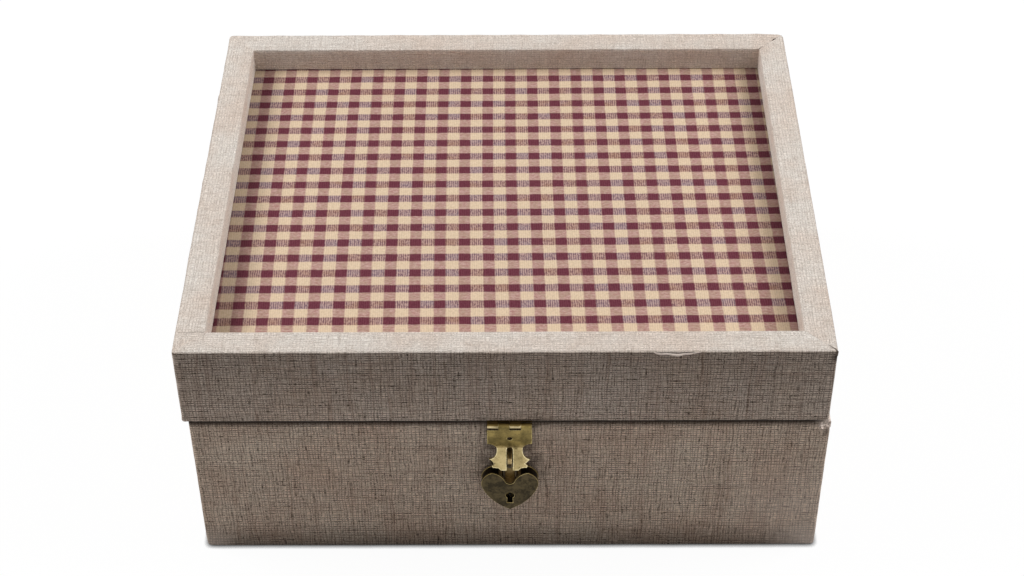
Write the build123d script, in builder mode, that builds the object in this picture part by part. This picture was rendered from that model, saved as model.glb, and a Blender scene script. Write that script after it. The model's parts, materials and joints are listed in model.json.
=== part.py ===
from build123d import *
from math import cos, radians, sin
import os

os.makedirs("parts", exist_ok=True)

# A cloth-covered keepsake box for photo prints. Millimetres, +Z up, the front
# faces -Y, and the origin is the centre of the underside of the base.
# Plane.XZ faces the front, so Plane.XZ.offset(d) stands d in front of the origin.

# ---- body -----------------------------------------------------------------
body_width = 303.5          # over the linen, left to right
body_depth = 254.9          # over the linen, front to back
rim_height = 87.6           # underside to the linen on the rim
cloth = 0.6                 # bookbinder's linen
wall_thick = 8.0            # body wall boards
board_round = 1.0           # eased upright corners of the boards
base_thick = 4.6
paper_thick = 0.4           # lining paper glued under the base
paper_inset = 3.0
body_turn_in = 15.0         # linen turned over the rim and down the inside
lining_thick = 1.2          # lining card
lining_drop = 4.0           # linen that shows between the rim and the lining card
lining_play = 0.3           # play at the ends of each lining card

# ---- lid ------------------------------------------------------------------
lid_extra_width = 1.5       # lid's width over the body's
lid_overhang = 0.6          # past the body's front; the backs are flush
lid_height = 44.6
lid_shift = -2.0            # the lid hangs this far off the body's centre line
seam_gap = 0.8              # between the rim and the lid
lid_wall_thick = 8.0
lid_turn_in = 12.0
panel_thick = 3.0
gingham_thick = 0.5
frame_width = 14.2          # top of the raised frame, linen included
recess_depth = 13.0         # frame top down to the gingham

# ---- back hinges ------------------------------------------------------------
hinge_span = 170.0          # centre to centre
hinge_width = 26.0
hinge_leaf_tall = 17.0
hinge_sheet = 1.0
hinge_pin_r = 1.1
knuckle_gap = 0.2
run = 0.05                  # running clearance round every pin
hinge_knuckles = 5
hinge_screw_row = 11.0      # screws above and below the seam
hinge_screw_spread = 15.0
screw_r = 1.1
screw_head_r = 2.0
screw_head_tall = 0.7
screw_slot = 0.5
screw_slot_deep = 0.35
screw_turns = (20, 95, 130, 50)     # degrees, the slot of each screw in a row
screw_long = 7.0            # under the leaf's outer face
pilot = 0.03                # play between a shank and the board round it

# ---- hasp -------------------------------------------------------------------
hasp_width = 21.3
hasp_sheet = 0.7
hasp_pin_r = 0.65
hasp_stand_off = 1.7        # barrel axis in front of the lid's front face
hasp_knuckles = 4
hasp_lean = 7.4             # degrees, the flat half leans in on the staple plate
hasp_flare = 38.0           # degrees from upright, the lower half is bent outward
flat_long = 15.5            # barrel axis to the bend
flare_long = 10.8           # bend to the lowest points
slit = 0.25                 # below the lid leaf's knuckles
hasp_hole_r = 1.25
hasp_hole_down = 8.2
slot_half = 1.53
slot_down = 15.0            # barrel axis to the rounded end of the slot
hasp_tail = 9.0             # lid leaf, back from the lid's front face
hasp_screw_back = 5.2
hasp_screw_spread = 12.0
hasp_screw_r = 0.8
hasp_screw_head_r = 1.4
hasp_screw_head_tall = 0.5
hasp_screw_long = 6.0

# ---- staple -----------------------------------------------------------------
plate_width = 10.4
plate_tall = 13.5
plate_thick = 0.8
plate_down = 14.0           # lid's lower edge to the plate's top
loop_width = 2.0
loop_strip = 0.9
loop_r = 3.2                # outside of the loop's round nose
loop_reach = 5.5            # body front to the centre of that round
loop_down = 22.2            # lid's lower edge to the middle of the loop
loop_root = 6.0             # legs driven into the board
nail_spread = 7.4
nail_r = 0.45
nail_head_r = 0.9
nail_head_tall = 0.5
nail_long = 6.0

# ---- padlock ----------------------------------------------------------------
lock_thick = 5.4
lock_reach = 4.5            # body front to the middle of the lock
face_sheet = 0.8            # front and back plates
band_sheet = 0.7            # band between the plates
band_inset = 0.25           # the plates stand proud of the band
heart_half = 13.7
heart_tall = 25.2
side_down = 7.9             # lobe tops to the widest part
lock_drop = 2.55            # arch centre down to the lobe tops
bridge_half = 6.2           # back plate between the lobes
bridge_down = 0.6           # lobe tops to the bridge's top edge
shackle_r = 0.75
arch_r = 3.0                # centre line of the shackle's arch
arch_play = 0.3             # loop to shackle at the loop's corners
toe_down = 8.6              # lobe tops to the end of the toe leg
heel_down = 15.7
heel_collar_r = 1.15
heel_collar_tall = 1.0
shackle_lift = 4.5          # how far the case drops once it is unlocked
stop_play = 0.05            # what is left between collar and guide at the end of the drop
guide_tall = 2.0
guide_half = 1.6
hole_play = 0.12            # round the shackle in the case
key_down = 15.5             # lobe tops to the centre of the keyhole
key_r = 2.08
key_neck_half = 1.15
key_foot_half = 1.45
key_slot_long = 5.1         # keyhole centre to the foot of its slot
post_r = 0.6
bolt_thick = 1.2
bolt_travel = 0.9
bolt_tongue_tall = 1.0
bolt_tongue_down = 7.0
bolt_gap = 0.3              # drawn bolt to the toe leg
bolt_in = 5.0               # centre line to the bolt's body
bolt_out = 9.2
bolt_low = 15.5
bolt_tail_tall = 1.7
bolt_tail_in = 2.7
bolt_pin_r = 0.45
bolt_pin_x = 6.8
spring_sheet = 0.25
spring_high = 1.6
spring_play = 0.2
rivet_r = 0.7

# ---- worked out -------------------------------------------------------------
lid_width = body_width + lid_extra_width
lid_depth = body_depth + lid_overhang
body_front = body_depth / 2                   # distance in front of the origin
body_back = body_depth / 2
lid_front = lid_depth - body_back
lid_middle = body_back - lid_depth / 2
lid_low = rim_height + seam_gap
lid_top = lid_low + lid_height
board_front = body_front - cloth
wall_low = paper_thick + cloth
wall_top = rim_height - cloth
gingham_top = lid_top - recess_depth
panel_top = gingham_top - gingham_thick
panel_low = panel_top - panel_thick
knuckle_r = hinge_pin_r + run + hinge_sheet
hinge_y = body_back + knuckle_r
hinge_z = rim_height + seam_gap / 2
hasp_barrel_r = hasp_pin_r + run + hasp_sheet
hasp_y = -(lid_front + hasp_stand_off)
hasp_z = lid_low - hasp_barrel_r
loop_z = lid_low - loop_down
loop_y = -(body_front + loop_reach)
plate_z = lid_low - plate_down - plate_tall / 2
inner_arch = arch_r - shackle_r
seat_rise = ((inner_arch - arch_play) ** 2 - (loop_width / 2) ** 2) ** 0.5
arch_z = loop_z - loop_r + loop_strip - seat_rise
lock_z = arch_z - lock_drop                   # tops of the heart's lobes
lock_y = -(body_front + lock_reach)
lock_face = body_front + lock_reach + lock_thick / 2
lock_back = body_front + lock_reach - lock_thick / 2
cavity_back = lock_back + face_sheet
cavity_front = lock_face - face_sheet


def save(piece, name):
    """Label a finished piece and write its STEP file."""
    piece.part.label = name
    export_step(piece.part, f"parts/{name}.step")


def slab(x_size, y_size, low, high, x=0.0, y=0.0):
    """A flat board or sheet between two heights."""
    with BuildPart() as piece:
        with BuildSketch(Plane.XY.offset(low)):
            with Locations((x, y)):
                Rectangle(x_size, y_size)
        extrude(amount=high - low)
    return piece


# =============================================================================
# Body boards. The front and back boards run the full width, and the side
# boards stand between them.
# =============================================================================
board_width = body_width - 2 * cloth
board_depth = body_depth - 2 * cloth
inner_depth = board_depth - 2 * wall_thick
inner_width = board_width - 2 * wall_thick
nail_x = (-nail_spread / 2, nail_spread / 2)
hinge_x = (-hinge_span / 2, hinge_span / 2)
body_screw_z = hinge_z - hinge_screw_row
lid_screw_z = hinge_z + hinge_screw_row

with BuildPart() as front_wall:
    with BuildSketch(Plane.XY.offset(wall_low)):
        with Locations((0, -board_depth / 2 + wall_thick / 2)):
            Rectangle(board_width, wall_thick)
    extrude(amount=wall_top - wall_low)
    upright = front_wall.edges().filter_by(Axis.Z).group_by(Axis.Y)[0]
    fillet(upright, board_round)
    with BuildSketch(Plane.XZ.offset(body_front)):
        with Locations(*[(x, loop_z) for x in nail_x]):
            Circle(nail_r + pilot)
    extrude(amount=-nail_long - pilot, mode=Mode.SUBTRACT)
    with BuildSketch(Plane.XZ.offset(body_front)):
        for leg_z in (loop_z + loop_r - loop_strip / 2, loop_z - loop_r + loop_strip / 2):
            with Locations((0, leg_z)):
                Rectangle(loop_width + 2 * pilot, loop_strip + 2 * pilot)
    extrude(amount=-loop_root - pilot, mode=Mode.SUBTRACT)
save(front_wall, "front_wall")

screws_at = []
for x in hinge_x:
    for side in (-1, 1):
        screws_at.append(x + side * hinge_screw_spread / 2)

with BuildPart() as back_wall:
    with BuildSketch(Plane.XY.offset(wall_low)):
        with Locations((0, board_depth / 2 - wall_thick / 2)):
            Rectangle(board_width, wall_thick)
    extrude(amount=wall_top - wall_low)
    upright = back_wall.edges().filter_by(Axis.Z).group_by(Axis.Y)[-1]
    fillet(upright, board_round)
    with BuildSketch(Plane.XZ.offset(-body_back)):
        with Locations(*[(x, body_screw_z) for x in screws_at]):
            Circle(screw_r + pilot)
    extrude(amount=screw_long - hinge_sheet + pilot, mode=Mode.SUBTRACT)
save(back_wall, "back_wall")

side_wall_x = board_width / 2 - wall_thick / 2
for side_name, side in (("left", -1), ("right", 1)):
    side_wall = slab(wall_thick, inner_depth, wall_low, wall_top, x=side * side_wall_x)
    save(side_wall, f"{side_name}_wall")

base_board = slab(inner_width, inner_depth, paper_thick, paper_thick + base_thick)
save(base_board, "base_board")

paper_width = body_width - 2 * paper_inset
paper_depth = body_depth - 2 * paper_inset
base_paper = slab(paper_width, paper_depth, 0, paper_thick)
save(base_paper, "base_paper")

# =============================================================================
# Body linen: round the four walls, over the rim, down the inside, and under
# the walls at the bottom.
# =============================================================================
with BuildPart() as body_cloth:
    with BuildSketch(Plane.XY.offset(paper_thick)):
        RectangleRounded(body_width, body_depth, board_round + cloth)
        Rectangle(inner_width, inner_depth, mode=Mode.SUBTRACT)
    extrude(amount=cloth)
    with BuildSketch(Plane.XY.offset(wall_low)):
        RectangleRounded(body_width, body_depth, board_round + cloth)
        RectangleRounded(board_width, board_depth, board_round, mode=Mode.SUBTRACT)
    extrude(amount=wall_top - wall_low)
    with BuildSketch(Plane.XY.offset(wall_top)):
        RectangleRounded(body_width, body_depth, board_round + cloth)
        Rectangle(inner_width - 2 * cloth, inner_depth - 2 * cloth, mode=Mode.SUBTRACT)
    extrude(amount=cloth)
    with BuildSketch(Plane.XY.offset(wall_top - body_turn_in)):
        Rectangle(inner_width, inner_depth)
        Rectangle(inner_width - 2 * cloth, inner_depth - 2 * cloth, mode=Mode.SUBTRACT)
    extrude(amount=body_turn_in)
    with BuildSketch(Plane.XZ.offset(body_front)):
        with Locations(*[(x, loop_z) for x in nail_x]):
            Circle(nail_r + pilot)
        for leg_z in (loop_z + loop_r - loop_strip / 2, loop_z - loop_r + loop_strip / 2):
            with Locations((0, leg_z)):
                Rectangle(loop_width + 2 * pilot, loop_strip + 2 * pilot)
    extrude(amount=-cloth, mode=Mode.SUBTRACT)
    with BuildSketch(Plane.XZ.offset(-body_back)):
        with Locations(*[(x, body_screw_z) for x in screws_at]):
            Circle(screw_r + pilot)
    extrude(amount=cloth, mode=Mode.SUBTRACT)
save(body_cloth, "body_cloth")

# =============================================================================
# Body lining: a card on the base and one on each wall, over the turned-in linen.
# =============================================================================
base_top = paper_thick + base_thick
lined_width = inner_width - 2 * cloth
lined_depth = inner_depth - 2 * cloth
base_lining = slab(
    lined_width - 2 * lining_play,
    lined_depth - 2 * lining_play,
    base_top,
    base_top + lining_thick,
)
save(base_lining, "base_lining")

lining_low = base_top + lining_thick
lining_high = rim_height - lining_drop
long_lining = lined_width - 2 * lining_play
short_lining = lined_depth - 2 * lining_thick - 2 * lining_play
for end_name, end in (("front", -1), ("back", 1)):
    lining_y = end * (lined_depth / 2 - lining_thick / 2)
    card = slab(long_lining, lining_thick, lining_low, lining_high, y=lining_y)
    save(card, f"{end_name}_lining")
for side_name, side in (("left", -1), ("right", 1)):
    lining_x = side * (lined_width / 2 - lining_thick / 2)
    card = slab(lining_thick, short_lining, lining_low, lining_high, x=lining_x)
    save(card, f"{side_name}_lining")

# =============================================================================
# Lid boards: four walls, the panel over them, and the raised frame on top.
# =============================================================================
lid_board_width = lid_width - 2 * cloth
lid_board_depth = lid_depth - 2 * cloth
lid_inner_width = lid_board_width - 2 * lid_wall_thick
lid_inner_depth = lid_board_depth - 2 * lid_wall_thick
lid_wall_low = lid_low + cloth
hasp_screw_x = (-hasp_screw_spread / 2, hasp_screw_spread / 2)
hasp_screw_y = -(lid_front - hasp_screw_back)

with BuildPart() as lid_front_wall:
    with BuildSketch(Plane.XY.offset(lid_wall_low)):
        with Locations((lid_shift, lid_middle - lid_board_depth / 2 + lid_wall_thick / 2)):
            Rectangle(lid_board_width, lid_wall_thick)
    extrude(amount=panel_low - lid_wall_low)
    upright = lid_front_wall.edges().filter_by(Axis.Z).group_by(Axis.Y)[0]
    fillet(upright, board_round)
    with BuildSketch(Plane.XY.offset(lid_low)):
        with Locations(*[(x, hasp_screw_y) for x in hasp_screw_x]):
            Circle(hasp_screw_r + pilot)
    extrude(amount=hasp_screw_long - hasp_sheet + pilot, mode=Mode.SUBTRACT)
save(lid_front_wall, "lid_front_wall")

with BuildPart() as lid_back_wall:
    with BuildSketch(Plane.XY.offset(lid_wall_low)):
        with Locations((lid_shift, lid_middle + lid_board_depth / 2 - lid_wall_thick / 2)):
            Rectangle(lid_board_width, lid_wall_thick)
    extrude(amount=panel_low - lid_wall_low)
    upright = lid_back_wall.edges().filter_by(Axis.Z).group_by(Axis.Y)[-1]
    fillet(upright, board_round)
    with BuildSketch(Plane.XZ.offset(-body_back)):
        with Locations(*[(x, lid_screw_z) for x in screws_at]):
            Circle(screw_r + pilot)
    extrude(amount=screw_long - hinge_sheet + pilot, mode=Mode.SUBTRACT)
save(lid_back_wall, "lid_back_wall")

lid_side_x = lid_board_width / 2 - lid_wall_thick / 2
for side_name, side in (("left", -1), ("right", 1)):
    side_wall = slab(
        lid_wall_thick,
        lid_inner_depth,
        lid_wall_low,
        panel_low,
        x=lid_shift + side * lid_side_x,
        y=lid_middle,
    )
    save(side_wall, f"lid_{side_name}_wall")


def lid_sheet(low, high):
    """A sheet over the whole lid with its corners eased."""
    with BuildPart() as piece:
        with BuildSketch(Plane.XY.offset(low)):
            with Locations((lid_shift, lid_middle)):
                RectangleRounded(lid_board_width, lid_board_depth, board_round)
        extrude(amount=high - low)
    return piece


save(lid_sheet(panel_low, panel_top), "lid_panel")
save(lid_sheet(panel_top, gingham_top), "gingham_cloth")

# =============================================================================
# Raised frame: four mitred rails on the gingham.
# =============================================================================
rail_width = frame_width - 2 * cloth
rail_top = lid_top - cloth


def mitred_rail(side, length, across):
    """One rail: its long edge lies out from the lid's centre, its ends are mitred."""
    out = across / 2
    inn = out - rail_width
    if side in ("front", "back"):
        sign = -1 if side == "front" else 1
        corners = [
            (-length / 2, sign * out),
            (length / 2, sign * out),
            (length / 2 - rail_width, sign * inn),
            (-length / 2 + rail_width, sign * inn),
        ]
    else:
        sign = -1 if side == "left" else 1
        corners = [
            (sign * out, -length / 2),
            (sign * out, length / 2),
            (sign * inn, length / 2 - rail_width),
            (sign * inn, -length / 2 + rail_width),
        ]
    placed = [(x + lid_shift, y + lid_middle) for x, y in corners]
    with BuildPart() as rail:
        with BuildSketch(Plane.XY.offset(gingham_top)):
            with BuildLine():
                Polyline(*placed, close=True)
            make_face()
        extrude(amount=rail_top - gingham_top)
    return rail


for side in ("front", "back"):
    save(mitred_rail(side, lid_board_width, lid_board_depth), f"frame_{side}_rail")
for side in ("left", "right"):
    save(mitred_rail(side, lid_board_depth, lid_board_width), f"frame_{side}_rail")

# =============================================================================
# Lid linen: one strip to each side. It starts inside the lid, turns under the
# wall, climbs the outside, crosses the frame and goes down to the gingham.
# =============================================================================
def linen_section(start):
    """Section of a strip on the plane start. Local x runs in from the outer face."""
    inside = cloth + lid_wall_thick
    with BuildSketch(start) as section:
        with BuildLine():
            Polyline(
                (0, lid_low),
                (inside + cloth, lid_low),
                (inside + cloth, lid_wall_low + lid_turn_in),
                (inside, lid_wall_low + lid_turn_in),
                (inside, lid_wall_low),
                (cloth, lid_wall_low),
                (cloth, rail_top),
                (frame_width - cloth, rail_top),
                (frame_width - cloth, gingham_top),
                (frame_width, gingham_top),
                (frame_width, lid_top),
                (0, lid_top),
                close=True,
            )
        make_face()
    return section.sketch


def linen_strip(side):
    """The strip of one side, cut to its mitres in plan."""
    half_x = lid_width / 2
    half_y = lid_depth / 2
    reach = half_y
    if side == "front":
        start = Plane(origin=(lid_shift - half_x, lid_middle - half_y, 0), x_dir=(0, 1, 0), z_dir=(1, 0, 0))
        run_long = lid_width
        outer = [(-half_x, -half_y), (half_x, -half_y), (half_x - reach, -half_y + reach)]
        outer.append((-half_x + reach, -half_y + reach))
    elif side == "back":
        start = Plane(origin=(lid_shift + half_x, lid_middle + half_y, 0), x_dir=(0, -1, 0), z_dir=(-1, 0, 0))
        run_long = lid_width
        outer = [(-half_x, half_y), (half_x, half_y), (half_x - reach, half_y - reach)]
        outer.append((-half_x + reach, half_y - reach))
    elif side == "left":
        start = Plane(origin=(lid_shift - half_x, lid_middle + half_y, 0), x_dir=(1, 0, 0), z_dir=(0, -1, 0))
        run_long = lid_depth
        outer = [(-half_x, -half_y), (-half_x, half_y), (-half_x + reach, 0)]
    else:
        start = Plane(origin=(lid_shift + half_x, lid_middle - half_y, 0), x_dir=(-1, 0, 0), z_dir=(0, 1, 0))
        run_long = lid_depth
        outer = [(half_x, -half_y), (half_x, half_y), (half_x - reach, 0)]
    plan = [(x + lid_shift, y + lid_middle) for x, y in outer]
    with BuildPart() as strip:
        extrude(linen_section(start), amount=run_long)
        with BuildSketch(Plane.XY.offset(lid_low)):
            with BuildLine():
                Polyline(*plan, close=True)
            make_face()
        extrude(amount=lid_height, mode=Mode.INTERSECT)
        if side == "front":
            with BuildSketch(Plane.XY.offset(lid_low)):
                with Locations(*[(x, hasp_screw_y) for x in hasp_screw_x]):
                    Circle(hasp_screw_r + pilot)
            extrude(amount=cloth, mode=Mode.SUBTRACT)
        if side == "back":
            with BuildSketch(Plane.XZ.offset(-body_back)):
                with Locations(*[(x, lid_screw_z) for x in screws_at]):
                    Circle(screw_r + pilot)
            extrude(amount=cloth, mode=Mode.SUBTRACT)
    return strip


for side in ("front", "back", "left", "right"):
    save(linen_strip(side), f"lid_{side}_cloth")

# =============================================================================
# Lid lining: a card under the panel and one on each wall.
# =============================================================================
lid_lined_width = lid_inner_width - 2 * cloth
lid_lined_depth = lid_inner_depth - 2 * cloth
panel_lining = slab(
    lid_lined_width - 2 * lining_play,
    lid_lined_depth - 2 * lining_play,
    panel_low - lining_thick,
    panel_low,
    x=lid_shift,
    y=lid_middle,
)
save(panel_lining, "lid_panel_lining")

lid_lining_low = lid_low + lining_drop
lid_lining_high = panel_low - lining_thick
long_lid_lining = lid_lined_width - 2 * lining_play
short_lid_lining = lid_lined_depth - 2 * lining_thick - 2 * lining_play
for end_name, end in (("front", -1), ("back", 1)):
    lining_y = lid_middle + end * (lid_lined_depth / 2 - lining_thick / 2)
    card = slab(long_lid_lining, lining_thick, lid_lining_low, lid_lining_high, x=lid_shift, y=lining_y)
    save(card, f"lid_{end_name}_lining")
for side_name, side in (("left", -1), ("right", 1)):
    lining_x = lid_shift + side * (lid_lined_width / 2 - lining_thick / 2)
    card = slab(lining_thick, short_lid_lining, lid_lining_low, lid_lining_high, x=lining_x, y=lid_middle)
    save(card, f"lid_{side_name}_lining")

# =============================================================================
# Back hinges: brass butts screwed to the outside of the back.
# =============================================================================
knuckle_pitch = hinge_width / hinge_knuckles
knuckle_long = knuckle_pitch - knuckle_gap


def hinge_leaf(x, up):
    """One leaf. up is 1 for the lid's leaf and -1 for the body's."""
    own = [i for i in range(hinge_knuckles) if (i % 2 == 0) == (up < 0)]
    others = [i for i in range(hinge_knuckles) if i not in own]
    first = x - hinge_width / 2 + knuckle_pitch / 2
    leaf_z = hinge_z + up * (hinge_leaf_tall + knuckle_gap) / 2
    screw_z = hinge_z + up * hinge_screw_row
    clear = knuckle_r + knuckle_gap
    with BuildPart() as leaf:
        with BuildSketch(Plane.XZ.offset(-body_back - hinge_sheet)):
            with Locations((x, leaf_z)):
                Rectangle(hinge_width, hinge_leaf_tall)
        extrude(amount=hinge_sheet)
        corners = leaf.edges().filter_by(Axis.Y)
        fillet(corners.group_by(Axis.Z)[-1 if up > 0 else 0], hinge_sheet)
        for i in others:
            with BuildSketch(Plane.YZ.offset(first + (i - 0.5) * knuckle_pitch)):
                with Locations((hinge_y, hinge_z)):
                    Rectangle(2 * clear, 2 * clear)
            extrude(amount=knuckle_pitch, mode=Mode.SUBTRACT)
        for i in own:
            with BuildSketch(Plane.YZ.offset(first + i * knuckle_pitch - knuckle_long / 2)):
                with Locations((hinge_y, hinge_z)):
                    Circle(knuckle_r)
            extrude(amount=knuckle_long)
        with BuildSketch(Plane.YZ.offset(x - hinge_width / 2)):
            with Locations((hinge_y, hinge_z)):
                Circle(hinge_pin_r + run)
        extrude(amount=hinge_width, mode=Mode.SUBTRACT)
        with BuildSketch(Plane.XZ.offset(-body_back - hinge_sheet)):
            with Locations(*[(x + s * hinge_screw_spread / 2, screw_z) for s in (-1, 1)]):
                Circle(screw_r + run)
        extrude(amount=hinge_sheet, mode=Mode.SUBTRACT)
    return leaf


def hinge_screws(screw_z):
    """The screws of one pair of leaves: a low round head and a shank."""
    with BuildPart() as screws:
        with BuildSketch(Plane.XZ.offset(-body_back - hinge_sheet)):
            with Locations(*[(x, screw_z) for x in screws_at]):
                Circle(screw_r)
        extrude(amount=screw_long)
        with BuildSketch(Plane.XZ.offset(-body_back - hinge_sheet)):
            with Locations(*[(x, screw_z) for x in screws_at]):
                Circle(screw_head_r)
        extrude(amount=-screw_head_tall, taper=30)
        with BuildSketch(Plane.XZ.offset(-body_back - hinge_sheet - screw_head_tall)):
            for x, turn in zip(screws_at, screw_turns):
                with Locations((x, screw_z)):
                    Rectangle(2 * screw_head_r, screw_slot, rotation=turn)
        extrude(amount=screw_slot_deep, mode=Mode.SUBTRACT)
    return screws


for side_name, x in (("left", hinge_x[0]), ("right", hinge_x[1])):
    save(hinge_leaf(x, -1), f"{side_name}_hinge_body_leaf")
    save(hinge_leaf(x, 1), f"{side_name}_hinge_lid_leaf")
    with BuildPart() as pin:
        with BuildSketch(Plane.YZ.offset(x - hinge_width / 2)):
            with Locations((hinge_y, hinge_z)):
                Circle(hinge_pin_r)
        extrude(amount=hinge_width)
    save(pin, f"{side_name}_hinge_pin")
save(hinge_screws(body_screw_z), "hinge_body_screws")
save(hinge_screws(lid_screw_z), "hinge_lid_screws")

# =============================================================================
# Hasp: a lid leaf under the lid's front edge, a pin, and the swinging leaf.
# =============================================================================
hasp_pitch = hasp_width / hasp_knuckles
hasp_knuckle_long = hasp_pitch - knuckle_gap
hasp_clear = hasp_barrel_r + slit


def hasp_knuckle_start(i):
    """Left end of knuckle i, counted from the left."""
    return -hasp_width / 2 + i * hasp_pitch + knuckle_gap / 2


with BuildPart() as hasp_lid_leaf:
    tail_y = -(lid_front - hasp_tail)
    with BuildSketch(Plane.XY.offset(lid_low - hasp_sheet)):
        with Locations((0, (hasp_y + tail_y) / 2)):
            Rectangle(hasp_width - knuckle_gap, tail_y - hasp_y)
    extrude(amount=hasp_sheet)
    for i in (1, 3):
        with BuildSketch(Plane.YZ.offset(-hasp_width / 2 + i * hasp_pitch)):
            with Locations((hasp_y, hasp_z)):
                Rectangle(2 * hasp_clear, 2 * hasp_clear)
        extrude(amount=hasp_pitch, mode=Mode.SUBTRACT)
    for i in (0, 2):
        with BuildSketch(Plane.YZ.offset(hasp_knuckle_start(i))):
            with Locations((hasp_y, hasp_z)):
                Circle(hasp_barrel_r)
        extrude(amount=hasp_knuckle_long)
    with BuildSketch(Plane.YZ.offset(-hasp_width / 2)):
        with Locations((hasp_y, hasp_z)):
            Circle(hasp_pin_r + run)
    extrude(amount=hasp_width, mode=Mode.SUBTRACT)
    with BuildSketch(Plane.XY.offset(lid_low - hasp_sheet)):
        with Locations(*[(x, hasp_screw_y) for x in hasp_screw_x]):
            Circle(hasp_screw_r + run)
    extrude(amount=hasp_sheet, mode=Mode.SUBTRACT)
    with BuildSketch(Plane.XY.offset(lid_low - hasp_sheet)):
        with Locations(*[(x, hasp_screw_y) for x in hasp_screw_x]):
            Circle(hasp_screw_head_r + run)
    extrude(amount=hasp_screw_head_tall + run, mode=Mode.SUBTRACT)
save(hasp_lid_leaf, "hasp_lid_leaf")

with BuildPart() as hasp_pin:
    with BuildSketch(Plane.YZ.offset(-hasp_width / 2 + knuckle_gap / 2)):
        with Locations((hasp_y, hasp_z)):
            Circle(hasp_pin_r)
    extrude(amount=hasp_width - knuckle_gap)
save(hasp_pin, "hasp_pin")

with BuildPart() as hasp_screws:
    with BuildSketch(Plane.XY.offset(lid_low - hasp_sheet)):
        with Locations(*[(x, hasp_screw_y) for x in hasp_screw_x]):
            Circle(hasp_screw_head_r)
    extrude(amount=hasp_screw_head_tall)
    with BuildSketch(Plane.XY.offset(lid_low - hasp_sheet)):
        with Locations(*[(x, hasp_screw_y) for x in hasp_screw_x]):
            Circle(hasp_screw_r)
    extrude(amount=hasp_screw_long)
save(hasp_screws, "hasp_screws")

# The swinging leaf. Down and out are unit vectors in the YZ plane: the flat
# half leans in towards the box, and the lower half is bent outward from it.
lean = radians(hasp_lean)
flare = radians(hasp_flare)
flat_out = Vector(0, -cos(lean), -sin(lean))
flat_down = Vector(0, sin(lean), -cos(lean))
flare_out = Vector(0, -cos(flare), sin(flare))
flare_down = Vector(0, -sin(flare), -cos(flare))
hasp_axis = Vector(0, hasp_y, hasp_z)
leaf_top = hasp_axis + flat_out * hasp_barrel_r
bend = leaf_top + flat_down * flat_long
lip = bend + flare_down * flare_long
bend_back = bend - (flat_out + flare_out) * (hasp_sheet / (1 + flat_out.dot(flare_out)))
leaf_section = [leaf_top, bend, lip, lip - flare_out * hasp_sheet, bend_back]
leaf_section.append(leaf_top - flat_out * hasp_sheet)


def on_flat(across, down):
    """Front view of a point of the flat half, as shares of its half width and length."""
    return (across * hasp_width / 2, leaf_top.Z - down * flat_long * cos(lean))


def on_flare(across, down):
    """The same for the half below the bend."""
    return (across * hasp_width / 2, bend.Z - down * flare_long * cos(flare))


slot_share = 2 * slot_half / hasp_width
slot_shoulder = (slot_down + slot_half - flat_long) / flare_long
slot_crown = (0, leaf_top.Z - slot_down * cos(lean))

with BuildPart() as hasp_leaf:
    with BuildSketch(Plane.YZ.offset(-hasp_width / 2)):
        with BuildLine():
            Polyline(*[(point.Y, point.Z) for point in leaf_section], close=True)
        make_face()
    extrude(amount=hasp_width)
    with BuildSketch(Plane.XZ.offset(body_front)):
        with BuildLine():
            Line((0, leaf_top.Z + hasp_sheet), (hasp_width / 2, leaf_top.Z + hasp_sheet))
            Line((hasp_width / 2, leaf_top.Z + hasp_sheet), on_flat(1, 0.8))
            ThreePointArc(on_flat(1, 0.8), on_flat(0.675, 0.89), on_flat(0.584, 1))
            ThreePointArc(on_flat(0.584, 1), on_flare(0.615, 0.296), on_flare(0.93, 0.49))
            Polyline(on_flare(0.93, 0.49), on_flare(0.69, 0.71), on_flare(0.79, 0.78))
            ThreePointArc(on_flare(0.79, 0.78), on_flare(0.78, 0.85), on_flare(0.7, 0.88))
            Line(on_flare(0.7, 0.88), on_flare(0.51, 0.9))
            ThreePointArc(on_flare(0.51, 0.9), on_flare(0.43, 0.965), on_flare(0.33, 1.1))
            Line(on_flare(0.33, 1.1), on_flare(slot_share, 1.1))
            Line(on_flare(slot_share, 1.1), on_flare(slot_share, slot_shoulder))
            mirror(about=Plane.YZ)
            left_shoulder = on_flare(-slot_share, slot_shoulder)
            ThreePointArc(left_shoulder, slot_crown, on_flare(slot_share, slot_shoulder))
        make_face()
        with Locations((0, leaf_top.Z - hasp_hole_down * cos(lean))):
            Circle(hasp_hole_r, mode=Mode.SUBTRACT)
        for i in (0, 2):
            with Locations((-hasp_width / 2 + (i + 0.5) * hasp_pitch, leaf_top.Z)):
                Rectangle(hasp_pitch, 2 * hasp_clear, mode=Mode.SUBTRACT)
        for x in (-hasp_width / 2, -hasp_pitch, 0, hasp_pitch, hasp_width / 2):
            with Locations((x, leaf_top.Z)):
                Rectangle(knuckle_gap, 2 * hasp_clear, mode=Mode.SUBTRACT)
    extrude(amount=hasp_stand_off + flare_long, mode=Mode.INTERSECT)
    for i in (1, 3):
        with BuildSketch(Plane.YZ.offset(hasp_knuckle_start(i))):
            with Locations((hasp_y, hasp_z)):
                Circle(hasp_barrel_r)
        extrude(amount=hasp_knuckle_long)
    with BuildSketch(Plane.YZ.offset(-hasp_width / 2)):
        with Locations((hasp_y, hasp_z)):
            Circle(hasp_pin_r + run)
    extrude(amount=hasp_width, mode=Mode.SUBTRACT)
save(hasp_leaf, "hasp_leaf")

# =============================================================================
# Staple: a plate, a loop whose legs are driven through it, and two nails.
# =============================================================================
leg_z = (loop_z + loop_r - loop_strip / 2, loop_z - loop_r + loop_strip / 2)

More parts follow.
